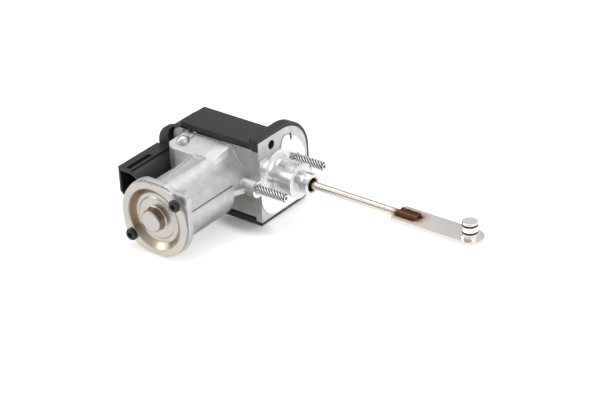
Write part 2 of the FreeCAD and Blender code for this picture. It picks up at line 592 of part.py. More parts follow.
def add_case(body):
    """The deep case and the strip that frames the casting's rounded back corner."""
    left = -strip_back
    low_corner = s.strip_low_corner
    arc = s.case_arc
    step = s.strip_top - arc + leg(arc, case_back - strip_back + arc)
    shell = new_sketch(body, "XZ", -s.case_far)
    loop(shell, [
        (left + low_corner, -s.case_bottom), (flange_back, -s.case_bottom), (flange_back, s.case_top),
        (-case_back, s.case_top), (-case_back, step, arc), (left, s.strip_top - arc),
        (left, -s.case_bottom + low_corner, low_corner)])
    pad(body, shell, s.case_far + s.wall_near)
    strip = new_sketch(body, "XZ", s.wall_near - s.strip_sink)
    lip = s.wall_back + s.seal_thick
    lip_top = s.wall_top + s.seal_thick
    lip_corner = s.wall_corner + s.seal_thick
    loop(strip, [
        (-case_back, s.strip_top), (left + s.strip_arc, s.strip_top, s.strip_arc),
        (left, s.strip_top - s.strip_arc), (left, -s.strip_foot), (-lip, -s.strip_foot),
        (-lip, lip_top - lip_corner, -lip_corner), (-lip + lip_corner, lip_top), (-case_back, lip_top)])
    pad(body, strip, s.strip_front - s.wall_near + s.strip_sink)
    undercut = new_sketch(body, "XZ", s.wall_near)
    box_loop(undercut, -case_back - s.join, -s.undercut_right, s.strip_top, s.case_top - s.undercut_drop)
    cut(body, undercut, s.undercut_depth)


def add_flange_rim(body):
    """Web behind the casting's flange and the D-shaped rim round it."""
    top = s.flange_top + s.rim_wall
    bottom = s.flange_bottom + s.rim_wall
    far = s.flange_far + s.rim_wall
    arc = s.flange_arc + s.rim_wall
    corner = s.flange_corner + s.rim_wall
    near = -s.wall_near
    outside = [
        (near, -bottom), (far - corner, -bottom, corner), (far, -bottom + corner),
        (far, top - arc, arc), (far - arc, top), (near, top)]
    web = new_sketch(body, "YZ", flange_back - s.web_thick)
    loop(web, outside)
    pad(body, web, s.web_thick)
    gap = s.rim_gap
    rim = new_sketch(body, "YZ", flange_back - s.sink)
    loop(rim, outside + [
        (near, s.flange_top + gap),
        (s.flange_far - s.flange_arc, s.flange_top + gap, -s.flange_arc - gap),
        (s.flange_far + gap, s.flange_top - s.flange_arc),
        (s.flange_far + gap, -s.flange_bottom + s.flange_corner, -s.flange_corner - gap),
        (s.flange_far - s.flange_corner, -s.flange_bottom - gap), (near, -s.flange_bottom - gap)])
    pad(body, rim, -flange_back + s.sink - s.rim_front)


def add_socket_body(body):
    """Connector shell: a round body with a flat rail on top."""
    socket = new_sketch(body, "XZ", s.strip_front - s.join)
    low = s.socket_z - s.socket_radius
    rail = -rail_right
    rail_foot = s.socket_z + s.socket_radius - s.rail_drop
    loop(socket, [
        (-socket_back + s.socket_bevel, low), (socket_x, low, s.socket_radius),
        (socket_x + s.socket_radius, s.socket_z, s.socket_radius + s.socket_ease), (rail, rail_foot),
        (rail, s.socket_top), (-socket_back, s.socket_top), (-socket_back, low + s.socket_bevel_rise)])
    pad(body, socket, s.socket_front - s.strip_front + s.join)


def cut_gear_space(body):
    left = -strip_back
    wall = s.case_wall
    arc = s.case_arc - wall
    floor = -s.case_bottom + wall + s.case_floor_extra
    right = flange_back - s.web_thick - s.case_web_extra
    shoulder = -case_back + wall
    step = s.strip_top - s.case_arc + leg(arc, shoulder + strip_back - s.case_arc)
    hollow = new_sketch(body, "XZ", wall_inside)
    loop(hollow, [
        (left + s.strip_low_corner, floor), (right, floor), (right, s.case_top - wall),
        (shoulder, s.case_top - wall), (shoulder, step, arc), (left + wall, s.strip_top - s.case_arc),
        (left + wall, -s.case_bottom + s.strip_low_corner, s.strip_low_corner - wall)])
    cut(body, hollow, wall_inside + lid_inside)
    # seat of the casting's wall and its seal
    ledge = new_sketch(body, "XZ", s.strip_front + s.join)
    t = s.seal_thick
    lip = s.wall_back + t
    low_lip = s.wall_low_corner + t
    lip_corner = s.wall_corner + t
    loop(ledge, [
        (-lip + low_lip, -s.wall_bottom - t), (flange_back, -s.wall_bottom - t),
        (flange_back, s.wall_top + t), (-lip + lip_corner, s.wall_top + t, lip_corner),
        (-lip, s.wall_top + t - lip_corner), (-lip, -s.wall_bottom - t + low_lip, low_lip)])
    cut(body, ledge, s.strip_front + s.join - wall_inside)
    # openings for the rod and for the far stud's boss in the web
    mouth = new_sketch(body, "YZ", flange_back)
    box_loop(mouth, -s.wall_near, lid_inside, -s.wall_bottom, s.wall_top)
    cut(body, mouth, s.web_thick + s.join)
    far_boss = new_sketch(body, "YZ", flange_back)
    ring(far_boss, stud_y, stud_z, s.stud_boss_radius + s.rim_gap)
    cut(body, far_boss, s.web_thick + s.join)


def cut_socket(body):
    """Mouth, latch slot and the slots that the contacts pass through."""
    inside = new_sketch(body, "XZ", s.socket_front)
    t = s.socket_wall
    bottom = s.socket_z - s.socket_radius + t
    loop(inside, [
        (-socket_back + s.mouth_bevel, bottom), (socket_x, bottom, s.socket_radius - t),
        (socket_x + s.socket_radius - t, s.socket_z, s.socket_radius - t),
        (socket_x, s.socket_z + s.socket_radius - t), (-socket_back + t, s.socket_top - t - s.mouth_drop),
        (-socket_back + t, bottom + s.mouth_bevel_rise)])
    cut(body, inside, s.socket_depth)
    slot = new_sketch(body, "XY", s.socket_top)
    slot_right = -rail_right - s.latch_slot_in
    box_loop(slot, slot_right - s.latch_slot_width, slot_right, -s.socket_front + s.latch_slot_lip,
             -s.latch_slot_start)
    cut(body, slot, s.latch_slot_depth)
    contacts = new_sketch(body, "XZ", s.socket_front - s.socket_depth)
    half = s.contact_size / 2
    for i in range(int(s.contact_count)):
        z = contact_height(i)
        box_loop(contacts, socket_x - half, socket_x + half, z - half, z + half)
    cut(body, contacts, s.socket_front - s.socket_depth - wall_inside + s.sink)


def add_posts(body):
    """Screw posts and board supports inside, from the lid towards the casting."""
    for x, z in cover_posts:
        post = new_sketch(body, "XZ", -lid_inside)
        ring(post, x, z, s.post_radius)
        pad(body, post, lid_inside + wall_inside)
        hole = new_sketch(body, "XZ", -s.case_far)
        ring(hole, x, z, s.cover_screw_radius)
        cut(body, hole, s.case_far + wall_inside, True)
    for x, z in (
            (-board_left + s.stand_left_in, -s.board_foot + s.stand_left_up),
            (-s.board_right - s.stand_right_in, -s.board_foot + s.stand_right_up)):
        stand = new_sketch(body, "XZ", -lid_inside)
        ring(stand, x, z, s.stand_radius)
        pad(body, stand, s.board_gap)


def contact_height(i):
    return s.socket_z + s.contact_pitch * (i - (int(s.contact_count) - 1) / 2)


def make_seal():
    body = new_body("cover_seal")
    sketch = new_sketch(body, "XZ", wall_inside + s.seal_inset)
    t = s.seal_thick
    front = flange_back
    outer = s.wall_corner + t
    low_outer = s.wall_low_corner + t
    left = -s.wall_back
    loop(sketch, [
        (front, -s.wall_bottom - t), (front, -s.wall_bottom),
        (left + s.wall_low_corner, -s.wall_bottom, -s.wall_low_corner),
        (left, -s.wall_bottom + s.wall_low_corner), (left, s.wall_top - s.wall_corner, -s.wall_corner),
        (left + s.wall_corner, s.wall_top), (front, s.wall_top), (front, s.wall_top + t),
        (left + s.wall_corner, s.wall_top + t, outer), (left - t, s.wall_top - s.wall_corner),
        (left - t, -s.wall_bottom + s.wall_low_corner, low_outer),
        (left + s.wall_low_corner, -s.wall_bottom - t)])
    pad(body, sketch, s.seal_depth)
    return body


def make_cover_screws():
    face = s.case_far
    top = face + s.cover_screw_head_height
    tip = -wall_inside - s.wall_thick + s.cover_screw_skin
    bevel = s.cover_screw_bevel
    for n, (x, z) in enumerate(cover_posts, start=1):
        body = turned("cover_screw_%d" % n, "Y", [
            (tip, 0.0), (top, 0.0), (top, s.cover_screw_head - bevel), (top - bevel, s.cover_screw_head),
            (face, s.cover_screw_head), (face, s.cover_screw_radius), (tip, s.cover_screw_radius)],
            x, 0.0, z)
        star_recess(body, -top, s.cover_drive_radius, s.cover_drive_depth, True)


def star_recess(body, shift, radius, depth, along_normal):
    """A six-lobed drive recess cut into a head, on a plane square to Y."""
    recess = new_sketch(body, "XZ", shift)
    corners = []
    for i in range(12):
        reach = radius if i % 2 == 0 else radius * s.lobe_ratio
        corners.append((reach * cosine(30.0 * i), reach * sine(30.0 * i)))
    loop(recess, corners)
    cut(body, recess, depth, along_normal)


def make_studs():
    for name, sign in (("stud_near", -1), ("stud_far", 1)):
        body = turned(name, "X", [
            (-s.stud_in, 0.0), (s.stud_out, 0.0), (s.stud_out, s.stud_radius - s.stud_bevel),
            (s.stud_out - s.stud_bevel, s.stud_radius), (0.0, s.stud_radius), (0.0, s.stud_root_radius),
            (-s.stud_in, s.stud_root_radius)],
            0.0, stud_y * sign, stud_z * sign)
        drive = new_sketch(body, "YZ", s.stud_out)
        loop(drive, [(s.stud_drive_radius * cosine(60.0 * i), s.stud_drive_radius * sine(60.0 * i))
                     for i in range(6)])
        cut(body, drive, s.stud_drive_depth)


def make_end_plate():
    front = -plate_front
    back = -s.tube_front
    floor = front + s.dish_depth
    disc = floor - s.disc_rise
    cup = front - s.cup_height
    dish_floor = s.dish_radius - s.dish_slope
    spigot = s.tube_bore - s.spigot_gap
    outside = plate_radius + s.plate_ear_half
    inner = floor + s.plate_floor
    bend = s.plate_round
    body = turned("end_plate", "Y", [
        (cup, 0.0), (cup, s.cup_radius - bend), (cup + bend, s.cup_radius), (disc - bend, s.cup_radius),
        (disc, s.cup_radius + bend), (disc, s.disc_radius), (floor, s.disc_radius + s.edge),
        (floor, dish_floor), (front + s.edge, s.dish_radius), (front, s.dish_radius + bend),
        (front, outside), (back, outside), (back, spigot), (inner, spigot), (inner, cup_bore),
        (cup + s.cup_floor_thick, cup_bore), (cup + s.cup_floor_thick, 0.0)],
        s.motor_x, 0.0, s.motor_z)
    # the sheet's outline: round, level above and below, cut straight beside its two screws
    side = plate_radius - s.plate_side_cut
    flat = s.ear_circle + s.plate_screw_cover
    a, b = cosine(s.screw_angle), sine(s.screw_angle)
    half = s.plate_ear_half
    half_outline = [
        (plate_radius, 0.0), (flat * a + half * b, flat * b - half * a),
        (flat * a - half * b, flat * b + half * a), (leg(plate_radius, side), side),
        (-leg(plate_radius, side), side, plate_radius)]
    trim = new_sketch(body, "XZ", s.tube_front)
    ring(trim, 0.0, 0.0, outside + s.join)
    loop(trim, half_outline + [(-corner[0], -corner[1]) + tuple(corner[2:]) for corner in half_outline])
    cut(body, trim, s.plate_thick + s.join, True)
    for sign in (-1, 1):
        hole = new_sketch(body, "XZ", s.tube_front)
        ring(hole, screw_x * sign, screw_z * sign, s.screw_radius + s.hole_gap)
        cut(body, hole, s.plate_thick + s.join, True)


def make_end_screws():
    for name, sign in (("end_screw_upper", 1), ("end_screw_lower", -1)):
        head = -plate_front
        top = head - s.screw_head_height
        tip = head + s.screw_length
        body = turned(name, "Y", [
            (top, 0.0), (top, s.screw_head_radius - s.screw_bevel),
            (top + s.screw_bevel, s.screw_head_radius),
            (head, s.screw_head_radius), (head, s.screw_radius), (tip, s.screw_radius), (tip, 0.0)],
            s.motor_x + screw_x * sign, 0.0, s.motor_z + screw_z * sign)
        star_recess(body, plate_front + s.screw_head_height, s.screw_drive_radius, s.screw_drive_depth, False)


def make_motor():
    x, z = s.motor_x, s.motor_z
    bearing_bore = s.shaft_radius + s.bearing_clearance
    can_back = -s.tube_floor - s.can_gap
    pocket = can_back + s.bearing_length
    turned("motor_can", "Y", [
        (-s.can_front, can_radius - s.can_wall), (can_back - s.can_wall, can_radius - s.can_wall),
        (can_back - s.can_wall, s.front_bearing_radius), (pocket, s.front_bearing_radius),
        (pocket, s.front_bearing_radius + s.bearing_wall),
        (can_back, s.front_bearing_radius + s.bearing_wall),
        (can_back, can_radius), (-s.can_front, can_radius)], x, 0.0, z)
    tube("front_bearing", "Y", pocket - s.bearing_length, pocket, bearing_bore, s.front_bearing_radius,
         x, 0.0, z)
    cup_floor = -plate_front - s.cup_height + s.cup_floor_thick
    step = cup_floor + s.bearing_step
    tube("rear_bearing", "Y", step, step + s.bearing_length, bearing_bore, cup_bore, x, 0.0, z)
    pole = can_radius - s.can_wall
    half = s.magnet_angle / 2
    for name, middle in (("magnet_upper", 90.0), ("magnet_lower", 270.0)):
        body = new_body(name, x, 0.0, z)
        sketch = new_sketch(body, "XZ", s.magnet_back)
        inner = pole - s.magnet_wall
        start, stop = middle - half, middle + half
        loop(sketch, [
            on_circle(start, pole) + (pole,), on_circle(middle, pole) + (pole,), on_circle(stop, pole),
            on_circle(stop, inner) + (-inner,), on_circle(middle, inner) + (-inner,),
            on_circle(start, inner)])
        pad(body, sketch, s.magnet_front - s.magnet_back)
    card_front = s.can_front - s.brush_card_inset
    tube("brush_card", "Y", -card_front, -card_front + s.brush_card_thick, s.brush_card_bore, pole, x, 0.0, z)
    for name, sign in (("brush_upper", 1), ("brush_lower", -1)):
        body = new_body(name, x, 0.0, z)
        sketch = new_sketch(body, "XZ", card_front - s.brush_card_thick - s.brush_size)
        near = s.commutator_radius + s.brush_gap
        far = near + s.brush_size * s.brush_ratio
        half = s.brush_size / 2
        low, high = (near, far) if sign > 0 else (-far, -near)
        box_loop(sketch, -half, half, low, high)
        pad(body, sketch, s.brush_size)


def make_rotor():
    x, z = s.motor_x, s.motor_z
    cup_floor = -plate_front - s.cup_height + s.cup_floor_thick
    pinion_end = -s.wheel_plane + s.wheel_face
    rod_of("motor_shaft", "Y", cup_floor + s.shaft_end_gap, pinion_end, s.shaft_radius, x, 0.0, z)
    body = tube("armature", "Y", -s.rotor_front, -s.rotor_back, s.shaft_radius, rotor_radius, x, 0.0, z)
    groove = new_sketch(body, "XZ", s.rotor_back)
    half = s.rotor_slot_width / 2
    box_loop(groove, -half, half, s.rotor_slot_floor, rotor_radius + s.join)
    slot = cut(body, groove, s.rotor_front - s.rotor_back, True)
    pattern = body.newObject("PartDesign::PolarPattern", "rotor_slots")
    pattern.Originals = [slot]
    pattern.Axis = (groove, ["N_Axis"])
    pattern.Angle = 360.0
    pattern.Occurrences = int(s.rotor_slots)
    bind(pattern, "Occurrences", s.rotor_slots)
    body.Tip = pattern
    coil_radius = rotor_radius - s.coil_drop
    for name, start, stop in (
            ("winding_front", -s.rotor_front - s.coil_length, -s.rotor_front),
            ("winding_rear", -s.rotor_back, -s.rotor_back + s.coil_length)):
        outside, inside = (start, stop) if name == "winding_front" else (stop, start)
        lean = s.coil_length * (s.coil_lean if name == "winding_front" else -s.coil_lean)
        turned(name, "Y", [
            (inside, s.shaft_radius), (inside, coil_radius), (outside + lean, coil_radius),
            (outside, coil_radius - s.coil_taper), (outside, s.shaft_radius)], x, 0.0, z)
    bars = -s.rotor_front - s.coil_length
    tube("commutator", "Y", bars - s.commutator_length, bars, s.shaft_radius, s.commutator_radius, x, 0.0, z)


# Toothed pieces: involute flanks at 20 degrees

PRESSURE_ANGLE = math.radians(20.0)
ADDENDUM = 0.9
DEDENDUM = 1.2


def tooth_half_angle(teeth, module, radius):
    pitch = module * teeth / 2
    base = pitch * math.cos(PRESSURE_ANGLE)
    at_pitch = math.tan(PRESSURE_ANGLE) - PRESSURE_ANGLE
    here = math.acos(min(1.0, base / radius))
    return math.pi / (2 * teeth) + at_pitch - (math.tan(here) - here) - s.mesh_gap / (4 * pitch)


def toothed_disc(teeth, module, thickness, start_angle, first=0, last=None):
    """A disc in the XZ plane with teeth from first to last; the rest of its rim is at the root."""
    pitch = module * teeth / 2
    root = pitch - DEDENDUM * module
    tip = pitch + ADDENDUM * module
    last = teeth if last is None else last
    points = []
    for n in range(first, last):
        middle = start_angle + 2 * math.pi * n / teeth
        flank = [(radius, tooth_half_angle(teeth, module, radius)) for radius in (root, pitch, tip)]
        for radius, half in flank:
            points.append((radius, middle - half))
        for radius, half in reversed(flank):
            points.append((radius, middle + half))
    vectors = [FreeCAD.Vector(r * math.cos(a), 0, r * math.sin(a)) for r, a in points]
    if last - first < teeth:
        vectors.append(FreeCAD.Vector(0, 0, 0))
    face = Part.Face(Part.makePolygon(vectors + vectors[:1]))
    return face.extrude(FreeCAD.Vector(0, thickness, 0))


def along_y(radius, start, length):
    return Part.makeCylinder(radius, length, FreeCAD.Vector(0, start, 0), FreeCAD.Vector(0, 1, 0))


def make_gears():
    toward_wheel = math.radians(s.wheel_direction)
    motor_teeth = int(s.motor_pinion_teeth)
    wheel_teeth = int(s.wheel_teeth)
    pinion_teeth = int(s.pinion_teeth)
    output_teeth = int(s.output_teeth)
    # the pinion's tooth points at the wheel, whose gap faces it
    pinion = toothed_disc(motor_teeth, s.motor_module, s.wheel_face, toward_wheel)
    pinion = pinion.cut(along_y(s.shaft_radius, 0, s.wheel_face))
    free_shape("motor_pinion", pinion, s.motor_x, -s.wheel_plane, s.motor_z)
    back_to_motor = toward_wheel + math.pi
    facing = back_to_motor + math.pi / wheel_teeth
    wheel = toothed_disc(wheel_teeth, s.motor_module, s.wheel_face, facing)
    wheel_pitch = s.motor_module * s.wheel_teeth / 2
    groove = along_y(wheel_pitch - s.rim_depth, s.wheel_face / 2, s.wheel_face).cut(
        along_y(s.gear_hub_radius + s.web_start, 0, 2 * s.wheel_face))
    wheel = wheel.cut(groove).cut(along_y(s.gear_hub_radius, 0, s.wheel_face))
    free_shape("intermediate_wheel", wheel, wheel_x, -s.wheel_plane, wheel_z)
    # the small pinion has its journal inside the wheel
    to_output = math.atan2(output_z - wheel_z, output_x - wheel_x)
    bore = s.gear_pin_radius + s.gear_running_gap
    pinion_length = s.wheel_plane - s.wheel_face - s.sector_plane + s.sector_face
    small = toothed_disc(pinion_teeth, s.gear_module, pinion_length + s.pinion_overrun, to_output)
    small.translate(FreeCAD.Vector(0, s.wheel_face, 0))
    small = small.fuse(along_y(s.gear_hub_radius, 0, s.wheel_face))
    small = small.cut(along_y(bore, 0, s.wheel_face + pinion_length + s.join))
    free_shape("intermediate_pinion", small.removeSplitter(), wheel_x, -s.wheel_plane, wheel_z)
    # the output gear is toothed only where the pinion reaches it
    pitch_angle = 2 * math.pi / output_teeth
    toward_pinion = math.atan2(wheel_z - output_z, wheel_x - output_x)
    reach = int(math.radians(s.sector_side) / pitch_angle)
    first_tooth = toward_pinion + pitch_angle / 2
    sector = toothed_disc(output_teeth, s.gear_module, s.sector_face, first_tooth, -reach - 1, reach + 1)
    hub = along_y(s.gear_hub_radius + s.hub_wall, 0, s.sector_face)
    sector = sector.fuse(hub).cut(along_y(s.gear_hub_radius, 0, s.sector_face))
    free_shape("output_gear", sector.removeSplitter(), output_x, -s.sector_plane, output_z)


def make_gear_pins():
    seat = -wall_inside - s.gear_pin_seat
    sector_back = -s.sector_plane + s.sector_face
    rod_of("intermediate_pin", "Y", seat, sector_back + s.wheel_pin_overrun, s.gear_pin_radius,
           wheel_x, 0.0, wheel_z)
    rod_of("output_pin", "Y", seat, sector_back + s.output_pin_overrun, s.gear_pin_radius,
           output_x, 0.0, output_z)


def make_crank():
    """Steel insert of the output gear: sleeve, arm and crank pin in one piece."""
    body = new_body("crank", output_x, 0.0, output_z)
    bore = s.gear_pin_radius + s.gear_running_gap
    sector_back = -s.sector_plane + s.sector_face
    sleeve = new_sketch(body, "XZ", wall_inside - s.sleeve_end_gap)
    ring(sleeve, 0.0, 0.0, s.gear_hub_radius)
    pad(body, sleeve, wall_inside - s.sleeve_end_gap + sector_back, True)
    arm = new_sketch(body, "XZ", -sector_back)
    side = s.crank_arm_radius
    tip = side - s.crank_taper
    loop(arm, [
        (-side, 0.0, side), (0.0, -side, side), (side, 0.0), (tip, s.crank_radius, tip),
        (0.0, s.crank_radius + tip, tip), (-tip, s.crank_radius)])
    pad(body, arm, s.crank_thick, True)
    journal = new_sketch(body, "XZ", -sector_back)
    ring(journal, 0.0, s.crank_radius, s.crank_pin_radius)
    pad(body, journal, s.crank_end - sector_back, True)
    hole = new_sketch(body, "XZ", wall_inside)
    ring(hole, 0.0, 0.0, bore)
    cut(body, hole, wall_inside + s.crank_end)
    groove = new_sketch(body, "XZ", -s.crank_end + s.crank_tip)
    ring(groove, 0.0, s.crank_radius, s.crank_pin_radius + s.join)
    ring(groove, 0.0, s.crank_radius, s.crank_pin_radius - s.crank_groove_depth)
    cut(body, groove, s.clip_thick, True)
    return body


def make_rod():
    eye_y = eye_start()
    start = output_x + s.crank_pin_radius + s.shank_gap
    body = new_body("rod")
    shank = new_sketch(body, "XZ")
    loop(shank, [
        (start, 0.0), (s.rod_end, 0.0), (s.rod_end, s.rod_radius - s.rod_bevel),
        (s.rod_end - s.rod_bevel, s.rod_radius), (start, s.rod_radius)])
    turn(body, shank)
    eye = new_sketch(body, "XZ", -eye_y)
    ring(eye, output_x, 0.0, s.eye_radius)
    pad(body, eye, s.eye_thick, True)
    hole = new_sketch(body, "XZ", -eye_y - s.eye_thick - s.join)
    ring(hole, output_x, 0.0, s.crank_pin_radius + s.gear_running_gap)
    cut(body, hole, s.eye_thick + s.join + s.join, True)


def eye_start():
    return -s.sector_plane + s.sector_face + s.crank_thick + s.eye_gap


def make_link():
    body = new_body("link_plate")
    plate = new_sketch(body, "XY", -s.link_thick / 2)
    half = s.link_half_width
    corner = s.link_corner
    loop(plate, [
        (s.link_start + corner, -half), (s.link_pin_x, -half, half), (s.link_pin_x + half, 0.0, half),
        (s.link_pin_x, half), (s.link_start + corner, half, corner), (s.link_start, half - corner),
        (s.link_start, -half + corner, corner)])
    pad(body, plate, s.link_thick)
    slot = new_sketch(body, "XY", s.link_thick / 2)
    wide = s.rod_radius + s.link_slot_gap
    box_loop(slot, s.link_start - s.join, s.link_slot_end, -wide, wide)
    cut(body, slot, s.link_thick)
    hole = new_sketch(body, "XY", s.link_thick / 2)
    ring(hole, s.link_pin_x, 0.0, s.pin_groove_radius)
    cut(body, hole, s.link_thick)
    top = s.link_thick / 2
    foot = s.pin_groove_radius + s.pin_foot_reach
    low, high, wide = s.pin_low_groove, s.pin_high_groove, s.pin_groove_width
    turned("link_pin", "Z", [
        (-top - s.pin_foot, 0.0), (-top - s.pin_foot, foot), (-top, foot),
        (-top, s.pin_groove_radius), (top, s.pin_groove_radius), (top, s.pin_flange_radius),
        (top + s.pin_flange_height, s.pin_flange_radius), (top + s.pin_flange_height, s.pin_radius),
        (low, s.pin_radius), (low, s.pin_groove_radius), (low + wide, s.pin_groove_radius),
        (low + wide, s.pin_radius), (high, s.pin_radius), (high, s.pin_groove_radius),
        (high + wide, s.pin_groove_radius), (high + wide, s.pin_radius),
        (s.pin_top - s.pin_chamfer, s.pin_radius), (s.pin_top, s.pin_radius - s.pin_chamfer),
        (s.pin_top, 0.0)], s.link_pin_x, 0.0, 0.0)
    for name, sign in (("weld_near", -1), ("weld_far", 1)):
        bead = new_body(name)
        sketch = new_sketch(bead, "YZ", s.link_start + s.weld_start)
        top = s.link_thick / 2
        edge = s.rod_radius + s.link_slot_gap
        rise = s.rod_radius * s.weld_rise
        bulge = s.weld_radius + s.weld_bulge
        inset = edge * s.weld_inset
        corners = [(edge, top), (edge + s.weld_radius, top, bulge), (inset, rise)]
        if sign < 0:
            corners = [(-inset, rise, bulge), (-edge - s.weld_radius, top), (-edge, top)]
        loop(sketch, corners)
        pad(bead, sketch, s.rod_end - s.link_start - s.weld_end)


def make_sensor():
    back = lid_inside - s.board_gap
    body = new_body("sensor_board")
    sketch = new_sketch(body, "XZ", -back)
    corner = s.board_corner
    loop(sketch, [
        (-board_left, -s.board_foot + corner), (-board_left + corner, -s.board_foot),
        (-s.board_right, -s.board_foot), (-s.board_right, -s.board_top), (-board_tab, -s.board_top),
        (-board_tab, s.board_top - s.board_step), (-board_left, s.board_top - s.board_step)])
    ring(sketch, cover_posts[3][0], cover_posts[3][1], s.post_radius + s.board_hole_gap)
    pad(body, sketch, s.board_thick)
    chip = new_body("sensor_chip")
    sketch = new_sketch(chip, "XZ", -back + s.board_thick)
    half = s.chip_size / 2
    box_loop(sketch, output_x - half, output_x + half, output_z - half, output_z + half)
    pad(chip, sketch, s.chip_thick)
    for i in range(int(s.contact_count)):
        contact = new_body("contact_%d" % (i + 1))
        sketch = new_sketch(contact, "XZ", -back + s.board_thick)
        z = contact_height(i)
        half = s.contact_size / 2
        box_loop(sketch, socket_x - half, socket_x + half, z - half, z + half)
        pad(contact, sketch, s.contact_front + back - s.board_thick)


make_housing()
make_cover()
make_seal()
make_cover_screws()
make_studs()
tube("nose_bush", "X", s.spout_length - s.bush_length, s.spout_length - s.bush_inset, s.bush_bore,
     s.bush_bore + s.bush_wall)
make_end_plate()
make_end_screws()
make_motor()
make_rotor()
make_gears()
make_gear_pins()
make_crank()
clip_end = s.crank_end - s.crank_tip
tube("crank_clip", "Y", clip_end - s.clip_thick, clip_end, s.crank_pin_radius - s.crank_groove_depth,
     s.clip_radius, output_x, 0.0, output_z + s.crank_radius)
arm_front = -s.sector_plane + s.sector_face + s.crank_thick
tube("position_magnet", "Y", arm_front, arm_front + s.magnet_ring_length,
     s.gear_pin_radius + s.magnet_ring_gap,
     s.magnet_ring_radius, output_x, 0.0, output_z)
make_rod()
make_link()
make_sensor()

doc.recompute()
for item in doc.Objects:
    if "Invalid" in item.State or "Error" in item.State:
        raise RuntimeError("%s failed: %s" % (item.Label, item.State))

parts = [o for o in doc.Objects if o.TypeId == "PartDesign::Body"]
parts += [o for o in doc.Objects if o.TypeId == "Part::Feature"]
os.makedirs("parts", exist_ok=True)
for item in parts:
    if item.Shape.isNull() or not item.Shape.isValid():
        raise RuntimeError("%s has no valid shape" % item.Label)
for item in parts:
    item.Shape.exportStep("parts/%s.step" % item.Label)
    print("%-20s %10.1f mm3  %d solid(s)" % (item.Label, item.Shape.Volume, len(item.Shape.Solids)))
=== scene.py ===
import json
import math
import bpy
from mathutils import Matrix, Vector


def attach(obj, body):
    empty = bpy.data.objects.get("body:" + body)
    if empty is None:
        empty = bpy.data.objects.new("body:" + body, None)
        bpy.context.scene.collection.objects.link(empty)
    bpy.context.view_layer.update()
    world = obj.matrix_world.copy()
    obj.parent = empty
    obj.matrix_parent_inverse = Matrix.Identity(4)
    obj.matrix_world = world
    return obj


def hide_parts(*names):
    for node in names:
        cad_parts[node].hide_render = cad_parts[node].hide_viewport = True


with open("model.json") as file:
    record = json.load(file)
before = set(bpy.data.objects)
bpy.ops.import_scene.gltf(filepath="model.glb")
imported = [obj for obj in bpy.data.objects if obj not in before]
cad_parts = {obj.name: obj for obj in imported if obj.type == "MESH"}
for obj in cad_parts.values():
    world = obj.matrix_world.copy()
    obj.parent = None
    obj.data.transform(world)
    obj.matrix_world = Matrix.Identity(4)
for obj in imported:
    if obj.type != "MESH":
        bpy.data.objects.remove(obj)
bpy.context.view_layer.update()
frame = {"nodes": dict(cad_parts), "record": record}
mm = 0.001


# camera, light and floor

cameraLook = {
    "azimuth": 39.38,
    "elevation": 28.72,
    "roll": 3.17,
    "distance": 1.3881,
    "lens": 132.0,
    "sensor": 36.0,
    "shift": (0.03645, -0.04428),
    "clip": (0.05, 60.0),
}

lampLook = {
    "overhead": {"place": (-0.35, 0.25, 1.35), "size": (1.5, 1.1), "level": 0.42,
                 "tint": (1.0, 0.99, 0.975)},
    "leftWindow": {"place": (-1.25, -0.75, 0.75), "size": (0.9, 0.9), "level": 0.22,
                   "tint": (0.97, 0.985, 1.0)},
    "rightFill": {"place": (1.25, -0.35, 0.8), "size": (1.0, 0.8), "level": 0.16,
                  "tint": (1.0, 0.99, 0.98)},
}

# the room's tone by the height of the direction, from the horizon up
roomLook = [(0.0, (0.15, 0.14, 0.13)), (0.28, (0.26, 0.25, 0.24)), (0.46, (0.70, 0.70, 0.70)),
            (1.0, (0.64, 0.645, 0.65))]

# and it is brighter to the far right
brightSide = {"toward": (0.72, 0.69, 0.08), "between": (0.45, 0.85), "colour": (1.0, 1.0, 1.0, 1.0)}

floorLook = {
    "colour": (0.86, 0.86, 0.86, 1.0),
    "contactNear": (-82.8, -28.0),      # y and z of the motor end's lowest edge
    "contactFar": (-17.6, -30.5),       # and of the cover's lowest edge
    "clear": 0.05,
    "lift": 0.4,                        # what the camera sees on top of the lit floor
    # painted shadow: shiny surfaces see the floor as a glow, dark round a point near the object and light
    # further out, in place of its real lit and shaded tone
    "mirroredShadow": [(0.0, (0.20, 0.185, 0.165)), (0.35, (0.30, 0.28, 0.26)), (0.75, (0.80, 0.80, 0.80)),
                 (1.0, (1.0, 1.0, 1.0))],   # its tone in shiny surfaces, out from under the motor
    "mirrorCentre": (0.034, 0.02, 0.0),
    "mirrorReach": 0.068,
    "mirrorLevel": 1.22,
    # painted contact shadow: the lift fades out round a spot at the foot of the wall
    "shadeCentre": (-0.014, -0.004),    # the lift fades out at the foot of the wall
    "shadeHalf": (0.024, 0.0105),
    "shadeFade": (0.3, 1.3),
    "size": 8.0,
}


def deselectAll():
    if bpy.context.mode != "OBJECT":
        bpy.ops.object.mode_set(mode="OBJECT")
    bpy.ops.object.select_all(action="DESELECT")


def pick(obj):
    deselectAll()
    obj.select_set(True)
    bpy.context.view_layer.objects.active = obj


def settle(obj):
    pick(obj)
    bpy.ops.object.transform_apply(location=True, rotation=True, scale=True)


def fillRamp(ramp, stops):
    points = ramp.color_ramp.elements
    while len(points) < len(stops):
        points.new(0.5)
    for point, (position, colour) in zip(points, stops):
        point.position = position
        point.color = (*colour, 1.0)


